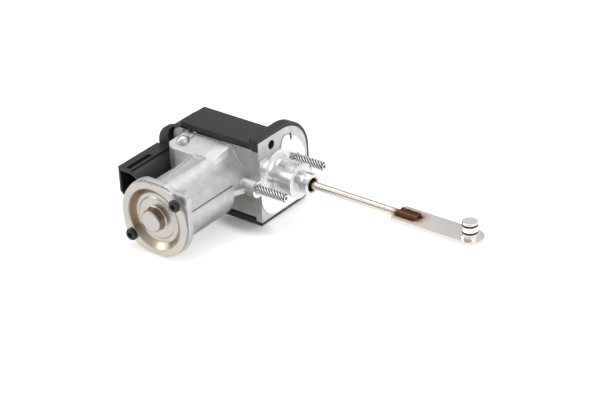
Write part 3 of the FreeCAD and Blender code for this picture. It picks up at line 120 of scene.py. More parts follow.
def placeCamera():
    az, el, roll = (math.radians(cameraLook[k]) for k in ("azimuth", "elevation", "roll"))
    back = Vector((math.sin(az) * math.cos(el), -math.cos(az) * math.cos(el), math.sin(el)))
    level = Vector((math.cos(az), math.sin(az), 0))
    above = back.cross(level)
    right = math.cos(roll) * level - math.sin(roll) * above
    up = math.sin(roll) * level + math.cos(roll) * above
    bpy.ops.object.camera_add(location=back * cameraLook["distance"])
    camera = bpy.context.object
    camera.rotation_euler = Matrix((right, up, back)).transposed().to_euler()
    camera.data.sensor_width = cameraLook["sensor"]
    camera.data.lens = cameraLook["lens"]
    camera.data.shift_x, camera.data.shift_y = cameraLook["shift"]
    camera.data.clip_start, camera.data.clip_end = cameraLook["clip"]
    bpy.context.scene.camera = camera


def placeLamps():
    for name, look in lampLook.items():
        spot = Vector(look["place"])
        bpy.ops.object.light_add(type="AREA", location=spot)
        lamp = bpy.context.object
        lamp.name = name
        lamp.data.shape = "RECTANGLE"
        lamp.data.size, lamp.data.size_y = look["size"]
        lamp.data.energy = look["level"] * math.pi ** 2 * spot.length_squared
        lamp.data.color = look["tint"]
        lamp.rotation_euler = spot.to_track_quat("Z", "Y").to_euler()


def paintWorld():
    world = bpy.data.worlds.new("softRoom")
    bpy.context.scene.world = world
    world.use_nodes = True
    tree = world.node_tree
    tree.nodes.clear()
    out = tree.nodes.new("ShaderNodeOutputWorld")
    coords = tree.nodes.new("ShaderNodeTexCoord")
    split = tree.nodes.new("ShaderNodeSeparateXYZ")
    ramp = tree.nodes.new("ShaderNodeValToRGB")
    fillRamp(ramp, roomLook)
    room = tree.nodes.new("ShaderNodeBackground")
    white = tree.nodes.new("ShaderNodeBackground")
    white.inputs["Color"].default_value = (1, 1, 1, 1)
    path = tree.nodes.new("ShaderNodeLightPath")
    mix = tree.nodes.new("ShaderNodeMixShader")
    link = tree.links.new
    link(coords.outputs["Generated"], split.inputs["Vector"])
    aside = tree.nodes.new("ShaderNodeVectorMath")
    aside.operation = "DOT_PRODUCT"
    aside.inputs[1].default_value = brightSide["toward"]
    span = tree.nodes.new("ShaderNodeMapRange")
    span.inputs["From Min"].default_value, span.inputs["From Max"].default_value = brightSide["between"]
    tint = tree.nodes.new("ShaderNodeMix")
    tint.data_type = "RGBA"
    tint.inputs[7].default_value = brightSide["colour"]
    link(coords.outputs["Generated"], aside.inputs[0])
    link(aside.outputs["Value"], span.inputs["Value"])
    link(span.outputs["Result"], tint.inputs[0])
    link(split.outputs["Z"], ramp.inputs["Fac"])
    link(ramp.outputs["Color"], tint.inputs[6])
    link(tint.outputs[2], room.inputs["Color"])
    link(path.outputs["Is Camera Ray"], mix.inputs["Fac"])
    link(room.outputs["Background"], mix.inputs[1])
    link(white.outputs["Background"], mix.inputs[2])
    link(mix.outputs["Shader"], out.inputs["Surface"])


def layFloor():
    y1, z1 = floorLook["contactNear"]
    y2, z2 = floorLook["contactFar"]
    slope = math.atan2(z2 - z1, y2 - y1)
    deselectAll()
    bpy.ops.mesh.primitive_plane_add(
        size=floorLook["size"], location=(0, y2 * mm, (z2 - floorLook["clear"]) * mm), rotation=(slope, 0, 0))
    floor = bpy.context.object
    floor.name = "studioFloor"
    mat = bpy.data.materials.new("paperFloor")
    mat.use_nodes = True
    tree = mat.node_tree
    tree.nodes.clear()
    out = tree.nodes.new("ShaderNodeOutputMaterial")
    paper = tree.nodes.new("ShaderNodeBsdfDiffuse")
    paper.inputs["Color"].default_value = floorLook["colour"]
    glow = tree.nodes.new("ShaderNodeEmission")
    # painted contact shadow: the lift fades to nothing near the foot of the wall
    foot = tree.nodes.new("ShaderNodeVectorMath")
    foot.operation = "MULTIPLY_ADD"
    (cx, cy), (hx, hy) = floorLook["shadeCentre"], floorLook["shadeHalf"]
    foot.inputs[1].default_value = (1 / hx, 1 / hy, 0)
    foot.inputs[2].default_value = (-cx / hx, -cy / hy, 0)
    away = tree.nodes.new("ShaderNodeVectorMath")
    away.operation = "LENGTH"
    fade = tree.nodes.new("ShaderNodeMapRange")
    fade.interpolation_type = "SMOOTHSTEP"
    fade.inputs["From Min"].default_value, fade.inputs["From Max"].default_value = floorLook["shadeFade"]
    fade.inputs["To Max"].default_value = floorLook["lift"]
    both = tree.nodes.new("ShaderNodeAddShader")
    path = tree.nodes.new("ShaderNodeLightPath")
    coords = tree.nodes.new("ShaderNodeTexCoord")
    # painted shadow in reflections: glossy rays see a glow whose tone grows with the distance from a point
    # near the object
    aside = tree.nodes.new("ShaderNodeVectorMath")
    aside.inputs[1].default_value = floorLook["mirrorCentre"]
    reach = tree.nodes.new("ShaderNodeVectorMath")
    reach.operation = "LENGTH"
    span = tree.nodes.new("ShaderNodeMapRange")
    span.inputs["From Max"].default_value = floorLook["mirrorReach"]
    ramp = tree.nodes.new("ShaderNodeValToRGB")
    fillRamp(ramp, floorLook["mirroredShadow"])
    mirroredShadow = tree.nodes.new("ShaderNodeEmission")
    mirroredShadow.inputs["Strength"].default_value = floorLook["mirrorLevel"]
    choose = tree.nodes.new("ShaderNodeMixShader")
    link = tree.links.new
    link(coords.outputs["Object"], foot.inputs[0])
    link(foot.outputs["Vector"], away.inputs[0])
    link(away.outputs["Value"], fade.inputs["Value"])
    link(fade.outputs["Result"], glow.inputs["Strength"])
    link(paper.outputs["BSDF"], both.inputs[0])
    link(glow.outputs["Emission"], both.inputs[1])
    link(coords.outputs["Object"], aside.inputs[0])
    link(aside.outputs["Vector"], reach.inputs[0])
    link(reach.outputs["Value"], span.inputs["Value"])
    link(span.outputs["Result"], ramp.inputs["Fac"])
    link(ramp.outputs["Color"], mirroredShadow.inputs["Color"])
    link(path.outputs["Is Glossy Ray"], choose.inputs["Fac"])
    link(both.outputs["Shader"], choose.inputs[1])
    link(mirroredShadow.outputs["Emission"], choose.inputs[2])
    link(choose.outputs["Shader"], out.inputs["Surface"])
    floor.data.materials.append(mat)


placeCamera()
placeLamps()
paintWorld()
layFloor()
bpy.context.scene.view_settings.view_transform = "Standard"
print("camera, lamps and floor are set")


# materials

def startMaterial(name):
    mat = bpy.data.materials.new(name)
    mat.use_nodes = True
    tree = mat.node_tree
    shader = tree.nodes["Principled BSDF"]
    coords = tree.nodes.new("ShaderNodeTexCoord")
    return mat, tree, shader, coords.outputs["Object"]


def addNoise(tree, where, scale, detail=3.0, stretch=(1, 1, 1)):
    turnNode = tree.nodes.new("ShaderNodeMapping")
    turnNode.inputs["Scale"].default_value = stretch
    noise = tree.nodes.new("ShaderNodeTexNoise")
    noise.inputs["Scale"].default_value = scale
    noise.inputs["Detail"].default_value = detail
    tree.links.new(where, turnNode.inputs["Vector"])
    tree.links.new(turnNode.outputs["Vector"], noise.inputs["Vector"])
    return noise.outputs["Fac"]


def addRamp(tree, source, stops):
    ramp = tree.nodes.new("ShaderNodeValToRGB")
    fillRamp(ramp, stops)
    tree.links.new(source, ramp.inputs["Fac"])
    return ramp.outputs["Color"]


def addRange(tree, source, low, high, fromLow=0.0, fromHigh=1.0):
    span = tree.nodes.new("ShaderNodeMapRange")
    span.inputs["From Min"].default_value = fromLow
    span.inputs["From Max"].default_value = fromHigh
    span.inputs["To Min"].default_value = low
    span.inputs["To Max"].default_value = high
    tree.links.new(source, span.inputs["Value"])
    return span.outputs["Result"]


def addMath(tree, operation, a, b=None):
    node = tree.nodes.new("ShaderNodeMath")
    node.operation = operation
    for i, value in enumerate((a, b)):
        if value is None:
            continue
        if isinstance(value, (int, float)):
            node.inputs[i].default_value = value
        else:
            tree.links.new(value, node.inputs[i])
    return node.outputs[0]


def addReach(tree, a, b):
    squares = addMath(tree, "MULTIPLY", a, a), addMath(tree, "MULTIPLY", b, b)
    return addMath(tree, "SQRT", addMath(tree, "ADD", *squares))


def splitAxes(tree, where):
    split = tree.nodes.new("ShaderNodeSeparateXYZ")
    tree.links.new(where, split.inputs["Vector"])
    return split.outputs["X"], split.outputs["Y"], split.outputs["Z"]


def addMix(tree, factor, a, b, blend="MIX"):
    node = tree.nodes.new("ShaderNodeMix")
    node.data_type = "RGBA"
    node.blend_type = blend
    for socket, value in ((node.inputs[0], factor), (node.inputs[6], a), (node.inputs[7], b)):
        if isinstance(value, (int, float, tuple)):
            socket.default_value = value
        else:
            tree.links.new(value, socket)
    return node.outputs[2]


def addBump(tree, shader, height, strength, depth):
    bump = tree.nodes.new("ShaderNodeBump")
    bump.inputs["Strength"].default_value = strength
    bump.inputs["Distance"].default_value = depth
    tree.links.new(height, bump.inputs["Height"])
    tree.links.new(bump.outputs["Normal"], shader.inputs["Normal"])


def tone(colour, gain):
    return tuple(min(1.0, c * gain) for c in colour)


# what a surface has where its own look says nothing
usualLook = {"stretch": (1, 1, 1), "spread": 0.08, "metal": 1.0, "gloss": 0.5, "bump": 0.15, "depth": 0.00005,
             "mottleScale": 60.0, "mottleDetail": 4.0, "patchScale": 140.0, "patchDetail": 3.0,
             "grainScale": 1500.0, "grainDetail": 2.0, "noiseSpan": (0.3, 0.7)}


def surface(name, ownLook):
    look = {**usualLook, **ownLook}
    mat, tree, shader, where = startMaterial(name)
    start, stop = look["noiseSpan"]
    mottle = addNoise(tree, where, look["mottleScale"], look["mottleDetail"], look["stretch"])
    colour = addRamp(tree, mottle, [(start, tone(look["colour"], 1 - look["spread"])),
                                    (stop, tone(look["colour"], 1 + look["spread"]))])
    tree.links.new(colour, shader.inputs["Base Color"])
    patches = addNoise(tree, where, look["patchScale"], look["patchDetail"], look["stretch"])
    tree.links.new(addRange(tree, patches, *look["roughness"], start, stop), shader.inputs["Roughness"])
    grain = addNoise(tree, where, look["grainScale"], look["grainDetail"], look["stretch"])
    addBump(tree, shader, grain, look["bump"], look["depth"])
    shader.inputs["Metallic"].default_value = look["metal"]
    shader.inputs["Specular IOR Level"].default_value = look["gloss"]
    return mat


plainLooks = {
    "castAluminium": {"colour": (0.60, 0.602, 0.606), "roughness": (0.38, 0.5), "spread": 0.1,
                      "mottleScale": 160.0, "grainScale": 1300.0, "bump": 0.55, "depth": 0.0001},
    "milledAluminium": {"colour": (0.90, 0.90, 0.905), "roughness": (0.14, 0.2), "spread": 0.02,
                        "stretch": (1, 1, 0.05), "grainScale": 3000.0, "bump": 0.12, "depth": 0.00002},
    "turnedAluminium": {"colour": (0.76, 0.765, 0.77), "roughness": (0.25, 0.32), "spread": 0.03,
                        "stretch": (8, 0.6, 0.6), "grainScale": 900.0, "bump": 0.04, "depth": 0.00003},
    # the next four are painted shade and a painted highlight: the step, hole and groove looks are near-black
    # copies put where steps, holes and grooves lie in shadow, and the crest look is zinc steel painted
    # lighter for the stud's crests and root
    "stepShade": {"colour": (0.2, 0.2, 0.2), "roughness": (0.4, 0.5), "spread": 0.1},
    "holeShade": {"colour": (0.03, 0.03, 0.03), "roughness": (0.5, 0.7), "metal": 0.0},
    "litZincSteel": {"colour": (0.80, 0.80, 0.79), "roughness": (0.2, 0.3), "grainScale": 2200.0},
    "grooveShade": {"colour": (0.07, 0.068, 0.066), "roughness": (0.4, 0.5), "spread": 0.2},
    "blackMoulding": {"colour": (0.02, 0.0195, 0.0195), "roughness": (0.36, 0.5), "spread": 0.3, "metal": 0.0,
                      "mottleScale": 40.0, "stretch": (0.25, 1, 1), "grainScale": 1400.0, "bump": 0.2,
                      "depth": 0.00006},
    "sealRubber": {"colour": (0.02, 0.02, 0.02), "roughness": (0.65, 0.8), "metal": 0.0},
    "zincSteel": {"colour": (0.62, 0.62, 0.61), "roughness": (0.24, 0.36), "grainScale": 2200.0},
    "bushBronze": {"colour": (0.5, 0.39, 0.26), "roughness": (0.25, 0.35), "spread": 0.06},
    "blackSteel": {"colour": (0.035, 0.035, 0.037), "roughness": (0.28, 0.4), "metal": 0.6, "spread": 0.2},
    "bearingBronze": {"colour": (0.6, 0.45, 0.25), "roughness": (0.4, 0.5)},
    "ferrite": {"colour": (0.08, 0.08, 0.085), "roughness": (0.55, 0.7), "metal": 0.2, "spread": 0.15},
    "phenolic": {"colour": (0.3, 0.17, 0.08), "roughness": (0.45, 0.55), "metal": 0.0},
    "carbon": {"colour": (0.05, 0.05, 0.05), "roughness": (0.6, 0.7), "metal": 0.0},
    "groundSteel": {"colour": (0.68, 0.68, 0.68), "roughness": (0.18, 0.28), "stretch": (1, 6, 1)},
    "gearPlastic": {"colour": (0.78, 0.75, 0.66), "roughness": (0.4, 0.5), "metal": 0.0, "spread": 0.03},
    "sinteredSteel": {"colour": (0.45, 0.45, 0.45), "roughness": (0.4, 0.55)},
    "sensorMagnet": {"colour": (0.14, 0.14, 0.15), "roughness": (0.4, 0.55), "metal": 0.5},
    "copperWire": {"colour": (0.72, 0.36, 0.2), "roughness": (0.25, 0.35), "stretch": (1, 0.1, 1)},
    "pinSteel": {"colour": (0.90, 0.865, 0.84), "roughness": (0.1, 0.16), "spread": 0.03,
                 "stretch": (1, 1, 8)},
    "weldMetal": {"colour": (0.085, 0.038, 0.022), "roughness": (0.14, 0.26), "spread": 0.5,
                  "mottleScale": 500.0},
    "circuitBoard": {"colour": (0.05, 0.2, 0.09), "roughness": (0.35, 0.45), "metal": 0.0},
    "chipPlastic": {"colour": (0.03, 0.03, 0.03), "roughness": (0.5, 0.6), "metal": 0.0},
    "contactMetal": {"colour": (0.78, 0.72, 0.58), "roughness": (0.2, 0.3)},
}
materials = {name: surface(name, look) for name, look in plainLooks.items()}


# drawn steel that the weld has burnt at the link plate's end
rodPaint = {"steel": (0.74, 0.69, 0.62), "straw": (0.55, 0.38, 0.22), "burnt": (0.13, 0.065, 0.04),
            "burntFrom": 0.0875, "burntTo": 0.0925, "strawAt": 0.55, "burntAt": 0.9,
            "blotch": (300.0, 3.0), "wander": (-0.001, 0.001), "roughness": (0.2, 0.4),
            "drawn": (500.0, 2.0, (0.04, 1, 1)), "drawnTone": [(0.35, (0.3, 0.28, 0.25)), (0.65, (1, 1, 1))],
            "drawnShare": 0.12, "bump": 0.12, "depth": 0.00003}


def steelRod():
    look = rodPaint
    mat, tree, shader, where = startMaterial("rodSteel")
    along = splitAxes(tree, where)[0]
    blotch = addNoise(tree, where, *look["blotch"])
    wander = addMath(tree, "ADD", along, addRange(tree, blotch, *look["wander"]))
    heat = addRange(tree, wander, 0.0, 1.0, look["burntFrom"], look["burntTo"])
    colour = addRamp(tree, heat, [(0.0, look["steel"]), (look["strawAt"], look["straw"]),
                                  (look["burntAt"], look["burnt"])])
    drawn = addNoise(tree, where, *look["drawn"])
    tinted = addMix(tree, look["drawnShare"], colour, addRamp(tree, drawn, look["drawnTone"]), "MULTIPLY")
    tree.links.new(tinted, shader.inputs["Base Color"])
    tree.links.new(addRange(tree, heat, *look["roughness"]), shader.inputs["Roughness"])
    shader.inputs["Metallic"].default_value = 1.0
    addBump(tree, shader, drawn, look["bump"], look["depth"])
    return mat


# the link plate's steel, with the weld's heat tint round its slot
linkPaint = {"steel": (0.79, 0.755, 0.73), "rose": (0.70, 0.55, 0.44), "brown": (0.26, 0.12, 0.065),
             "slotTip": 0.1085, "slotHalf": 0.0027, "heatReach": 0.006, "roseAt": 0.55, "brownAt": 0.95,
             "blotch": (260.0, 3.0), "wander": (-0.0012, 0.0012), "roughness": (0.24, 0.38, 0.3, 0.7),
             "mottle": (60.0, 1.0, (0.5, 1, 1)), "mottleTone": [(0.35, (0.55, 0.52, 0.5)), (0.65, (1, 1, 1))],
             "mottleShare": 0.08, "grain": (1500.0, 2.0), "bump": 0.06, "depth": 0.00003}


def linkSteel():
    look = linkPaint
    mat, tree, shader, where = startMaterial("linkSteel")
    along, aside = splitAxes(tree, where)[:2]
    aside = addMath(tree, "ABSOLUTE", aside)
    aside = addMath(tree, "MAXIMUM", addMath(tree, "SUBTRACT", aside, look["slotHalf"]), 0.0)
    ahead = addMath(tree, "MAXIMUM", addMath(tree, "SUBTRACT", along, look["slotTip"]), 0.0)
    near = addReach(tree, aside, ahead)
    blotch = addNoise(tree, where, *look["blotch"])
    near = addMath(tree, "ADD", near, addRange(tree, blotch, *look["wander"]))
    heat = addRange(tree, near, 1.0, 0.0, 0.0, look["heatReach"])
    colour = addRamp(tree, heat, [(0.0, look["steel"]), (look["roseAt"], look["rose"]),
                                  (look["brownAt"], look["brown"])])
    mottle = addNoise(tree, where, *look["mottle"])
    tinted = addMix(tree, look["mottleShare"], colour, addRamp(tree, mottle, look["mottleTone"]), "MULTIPLY")
    tree.links.new(tinted, shader.inputs["Base Color"])
    tree.links.new(addRange(tree, mottle, *look["roughness"]), shader.inputs["Roughness"])
    shader.inputs["Metallic"].default_value = 1.0
    addBump(tree, shader, addNoise(tree, where, *look["grain"]), look["bump"], look["depth"])
    return mat


# nickel-plated sheet with painted shade and a painted highlight: brown rings of painted shade on the dish's
# slope and the cup's side, by the distance from the motor's axis, heavier to the left and weaker towards the
# bottom, and a warm yellow painted highlight towards the bottom
platedPaint = {"plain": (0.55, 0.52, 0.48), "brown": (0.20, 0.14, 0.09), "goldHighlight": (0.74, 0.66, 0.50),
               "axis": (-0.0305, -0.002), "bandReach": 0.026,
               "shadeBands": [(0.0, 0.0), (0.262, 0.0), (0.272, 0.9), (0.292, 0.9), (0.306, 0.0),
                         (0.62, 0.0), (0.65, 0.6), (0.77, 0.75), (0.81, 0.0), (1.0, 0.0)],
               "blotch": (180.0, 3.0), "wander": (-0.0002, 0.0002), "roughness": (0.24, 0.36, 0.3, 0.7),
               "low": (-0.018, -0.006), "bandLow": 0.35, "goldHighlightShare": 0.5,
               "leftward": (1.5, 0.55, -0.012, 0.014), "grain": (1200.0, 2.0), "bump": 0.15, "depth": 0.00004}


def platePaint():
    look = platedPaint
    mat, tree, shader, where = startMaterial("platedSteel")
    across, above = splitAxes(tree, where)[::2]
    across = addMath(tree, "SUBTRACT", across, look["axis"][0])
    above = addMath(tree, "SUBTRACT", above, look["axis"][1])
    blotch = addNoise(tree, where, *look["blotch"])
    wander = addMath(tree, "ADD", addReach(tree, across, above), addRange(tree, blotch, *look["wander"]))
    # painted shade: brown rings on the dish's slope and the cup's side, heavier to the left and weaker at the
    # bottom
    shadeBand = addRamp(tree, addRange(tree, wander, 0.0, 1.0, 0.0, look["bandReach"]),
                   [(p, (v, v, v)) for p, v in look["shadeBands"]])
    low = addRange(tree, above, 1.0, 0.0, *look["low"])
    shadeBand = addMath(tree, "MULTIPLY", shadeBand, addRange(tree, across, *look["leftward"]))
    shadeBand = addMath(tree, "MULTIPLY", shadeBand, addRange(tree, low, 1.0, look["bandLow"]))
    # painted highlight: warm yellow towards the bottom of the plate
    goldHighlighted = addMix(tree, addMath(tree, "MULTIPLY", low, look["goldHighlightShare"]),
                    (*look["plain"], 1.0), (*look["goldHighlight"], 1.0))
    colour = addMix(tree, shadeBand, goldHighlighted, (*look["brown"], 1.0))
    tree.links.new(colour, shader.inputs["Base Color"])
    tree.links.new(addRange(tree, blotch, *look["roughness"]), shader.inputs["Roughness"])
    shader.inputs["Metallic"].default_value = 1.0
    addBump(tree, shader, addNoise(tree, where, *look["grain"]), look["bump"], look["depth"])
    return mat


materials["rodSteel"] = steelRod()
materials["linkSteel"] = linkSteel()
materials["platedSteel"] = platePaint()
print("materials are mixed:", len(materials))


# the CAD nodes' finishes, by the record's material slots

finishOf = {
    "cast_aluminium": "castAluminium", "black_moulding": "blackMoulding", "seal_rubber": "sealRubber",
    "zinc_steel": "zincSteel", "bush_bronze": "bushBronze", "plated_steel": "platedSteel",
    "black_steel": "blackSteel", "bearing_bronze": "bearingBronze", "ferrite": "ferrite",
    "phenolic": "phenolic", "carbon": "carbon", "ground_steel": "groundSteel", "gear_plastic": "gearPlastic",
    "sintered_steel": "sinteredSteel", "sensor_magnet": "sensorMagnet", "copper": "copperWire",
    "rod_steel": "rodSteel", "link_steel": "linkSteel", "pin_steel": "pinSteel", "weld_metal": "weldMetal",
    "circuit_board": "circuitBoard", "chip_plastic": "chipPlastic", "contact_metal": "contactMetal",
}
slotOf = {entry["node"]: entry["material_slot"] for entry in frame["record"]["subparts"]}
bodyOf = {node: body for body, group in frame["record"]["behaviour"]["bodies"].items() for node in group}
for name, node in frame["nodes"].items():
    finishOrShade = materials[finishOf[slotOf[name]]]
    if not node.material_slots:
        node.data.materials.append(finishOrShade)
    for place in node.material_slots:
        place.material = finishOrShade


# pieces that are the CAD solid with its edges broken as a mould or a tool leaves them

dressLook = {"merge": 0.002, "flat": 0.5, "smooth": 32, "room": 2.5, "share": 0.4, "alongEdge": 0.9}
edgeLook = {
    "housing": {"round": 0.45, "steps": 2, "sharp": 28, "noseFrom": -0.3, "noseReach": 17.0},
    "cover": {"round": 0.4, "steps": 2, "sharp": 28},
    "end_plate": {"round": 0.35, "steps": 2, "sharp": 28},
    "end_screw_upper": {"round": 0.18, "steps": 2, "sharp": 28},
    "end_screw_lower": {"round": 0.18, "steps": 2, "sharp": 28},
    "cover_screw_1": {"round": 0.15, "steps": 1, "sharp": 28},
    "cover_screw_2": {"round": 0.15, "steps": 1, "sharp": 28},
    "cover_screw_3": {"round": 0.15, "steps": 1, "sharp": 28},
    "cover_screw_4": {"round": 0.15, "steps": 1, "sharp": 28},
    "nose_bush": {"round": 0.12, "steps": 1, "sharp": 28},
    "rod": {"round": 0.1, "steps": 1, "sharp": 40},
    "link_plate": {"round": 0.25, "steps": 2, "sharp": 40},
    "link_pin": {"round": 0.12, "steps": 2, "sharp": 40},
}


# how much of the rounding each sharp edge has room for
def weighEdges(piece, look):
    mesh = piece.data
    wide = look["round"] * mm
    bend = math.cos(math.radians(look["sharp"]))
    normalsAt = {}
    for face in mesh.polygons:
        for key in face.edge_keys:
            normalsAt.setdefault(key, []).append(face.normal.copy())
    around = [[] for _ in mesh.vertices]
    for edge in mesh.edges:
        a, b = edge.vertices
        span = mesh.vertices[b].co - mesh.vertices[a].co
        around[a].append((edge.index, span))
        around[b].append((edge.index, -span))
    weights = mesh.attributes.new("bevel_weight_edge", "FLOAT", "EDGE")
    for edge in mesh.edges:
        sides = normalsAt.get(edge.key, [])
        if len(sides) != 2 or sides[0].dot(sides[1]) > bend:
            continue
        a, b = edge.vertices
        here = (mesh.vertices[a].co + mesh.vertices[b].co) / 2 / mm
        reach = math.hypot(here.y, here.z)
        if "noseFrom" in look and here.x > look["noseFrom"] and reach < look["noseReach"]:
            continue
        along = (mesh.vertices[b].co - mesh.vertices[a].co).normalized()
        room = wide * dressLook["room"]
        for end in (a, b):
            for other, span in around[end]:
                if other != edge.index and abs(span.normalized().dot(along)) < dressLook["alongEdge"]:
                    room = min(room, span.length)
        weights.data[edge.index].value = min(1.0, dressLook["share"] * room / wide)


# points that the rounding threw off the CAD surface go back to it
def drawBack(piece, node, reach):
    for point in piece.data.vertices:
        found, spot = node.closest_point_on_mesh(point.co)[:2]
        if found and (spot - point.co).length > reach:
            point.co = spot


def dressNode(name, look):
    node = frame["nodes"][name]
    pick(node)
    bpy.ops.object.duplicate()
    piece = bpy.context.object
    piece.name = name + "_finished"
    piece.parent = None
    bpy.ops.object.mode_set(mode="EDIT")
    bpy.ops.mesh.select_all(action="SELECT")
    bpy.ops.mesh.remove_doubles(threshold=dressLook["merge"] * mm)
    bpy.ops.mesh.dissolve_limited(angle_limit=math.radians(dressLook["flat"]))
    bpy.ops.object.mode_set(mode="OBJECT")
    weighEdges(piece, look)
    bevel = piece.modifiers.new("brokenEdges", "BEVEL")
    bevel.width = look["round"] * mm
    bevel.segments = look["steps"]
    bevel.limit_method = "WEIGHT"
    bevel.use_clamp_overlap = False
    bpy.ops.object.modifier_apply(modifier=bevel.name)
    drawBack(piece, node, look["round"] * mm)
    bpy.ops.object.shade_smooth_by_angle(angle=math.radians(dressLook["smooth"]))
    even = piece.modifiers.new("evenNormals", "WEIGHTED_NORMAL")
    even.keep_sharp = True
    bpy.ops.object.modifier_apply(modifier=even.name)
    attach(piece, bodyOf[name])
    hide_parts(name)
    return piece


finished = {name: dressNode(name, look) for name, look in edgeLook.items()}
print("edges broken on", len(finished), "pieces")


# the cover's lip along the near top edge of the flange

lipLook = {"from": (-5.6, -18.35, 22.6), "to": (-0.9, -17.6, 30.8), "round": 0.3, "steps": 2}


def addLip():
    low, high = Vector(lipLook["from"]) * mm, Vector(lipLook["to"]) * mm
    deselectAll()
    bpy.ops.mesh.primitive_cube_add(size=1.0, location=(low + high) / 2)
    lip = bpy.context.object
    lip.name = "cover_lip"
    lip.scale = high - low
    settle(lip)
    bevel = lip.modifiers.new("softEdges", "BEVEL")
    bevel.width = lipLook["round"] * mm
    bevel.segments = lipLook["steps"]
    bpy.ops.object.modifier_apply(modifier=bevel.name)
    bpy.ops.object.shade_smooth_by_angle(angle=math.radians(dressLook["smooth"]))
    lip.data.materials.append(materials["blackMoulding"])
    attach(lip, bodyOf["cover"])


addLip()
print("lip added")


# milled and turned faces of the casting, and painted shade in its hole, its key slot and along its steps

castingFaceLook = {
    "finishesAndShades": ("milledAluminium", "turnedAluminium", "holeShade", "stepShade"),
    "pad": 0.05, "noseReach": 16.6, "facing": 0.9, "edgeDepth": (-0.5, -0.02), "edgeFacing": 0.75,
    "holeAt": (-4.5, 22.4), "holeReach": 3.05, "holeDepth": (-6, -0.6),
    "slotAt": (14.8, 20.1), "slotHalf": (0.8, 2.05), "slotDepth": (-2, -0.1),
    "motorAt": (-30.5, -2.0), "stepSpan": (-74.6, -34.0), "stepReach": (20.54, 21.26), "stepTurn": (5, 22),
}


def within(value, span):
    return span[0] < value < span[1]


# the slot of the casting's own material comes first, then those of the milled and turned faces and of the
# painted shade
def finishOrShadeSlot(centre, facing):
    look = castingFaceLook
    x, y, z = (c / mm for c in centre)
    reach = math.hypot(y, z)
    inHole = math.hypot(y - look["holeAt"][0], z - look["holeAt"][1]) < look["holeReach"]
    inSlot = all(abs(c - at) < half for c, at, half in zip((y, z), look["slotAt"], look["slotHalf"]))
    aside, above = x - look["motorAt"][0], z - look["motorAt"][1]
    inStep = (within(y, look["stepSpan"]) and within(math.hypot(aside, above), look["stepReach"])
              and within(math.degrees(math.atan2(above, aside)), look["stepTurn"]))
    # painted shade: the tapped hole and the key slot get a near-black look
    if inHole and within(x, look["holeDepth"]) or inSlot and within(x, look["slotDepth"]):
        return 3
    if abs(x) < look["pad"] and facing.x > look["facing"]:
        return 1
    if x > 0.0 and reach < look["noseReach"]:
        return 2
    # painted shade: a dark line along the plateau's step and along the pad's edge
    onPadEdge = (within(x, look["edgeDepth"]) and abs(facing.x) < look["edgeFacing"]
                 and reach > look["noseReach"])
    return 4 if inStep or onPadEdge else 0


def finishAndShadeCasting():
    piece = finished["housing"]
    for name in castingFaceLook["finishesAndShades"]:
        piece.data.materials.append(materials[name])
    for face in piece.data.polygons:
        face.material_index = finishOrShadeSlot(face.center, face.normal)


finishAndShadeCasting()
print("casting machined")


# painted shade in the grooves of the link pin

pinLook = {"axisX": 144.7, "shadeBands": ((3.75, 5.15), (8.55, 9.95)), "bottom": 4.15}


def shadePinGrooves():
    piece = finished["link_pin"]
    # painted shade: the faces at the bottom of the two grooves get a near-black look
    piece.data.materials.append(materials["grooveShade"])
    for face in piece.data.polygons:
        x, y, z = (c / mm for c in face.center)
        inBand = any(within(z, shadeBand) for shadeBand in pinLook["shadeBands"])
        if inBand and math.hypot(x - pinLook["axisX"], y) < pinLook["bottom"]:
            face.material_index = 1


shadePinGrooves()


# studs: rolled threads on the free length, a plain root in the casting, a hexagon in the end; painted shade
# darkens the grooves, the hexagon is a thin near-black disc of painted shade, and the crests and the root are
# a lighter zinc steel as a painted highlight

studLook = {
    "places": {"stud_near": (-19.89, -2.09), "stud_far": (19.89, 2.09)},
    "from": -9.0, "to": 21.6, "rootRadius": 3.3, "rootSides": 32, "crest": 3.0, "groove": 2.35,
    "starts": 8, "lead": 18.0, "around": 80, "slicesPerTurn": 80, "steep": 3.6, "valley": 0.25,
    "brightFrom": 0.08, "endFacing": 0.9, "tip": 0.8, "drive": 1.2, "driveSides": 6, "driveDepth": 0.1,
    "smooth": 28,
}


# its centre lies on the stud's axis, x from the mounting face
def roundAlongX(sides, radius, depth, x, finishOrShade):
    deselectAll()
    bpy.ops.mesh.primitive_cylinder_add(vertices=sides, radius=radius * mm, depth=depth * mm,
                                        location=(x * mm, 0, 0), rotation=(0, math.pi / 2, 0))
    part = bpy.context.object
    part.data.materials.append(materials[finishOrShade])
    settle(part)
    return part


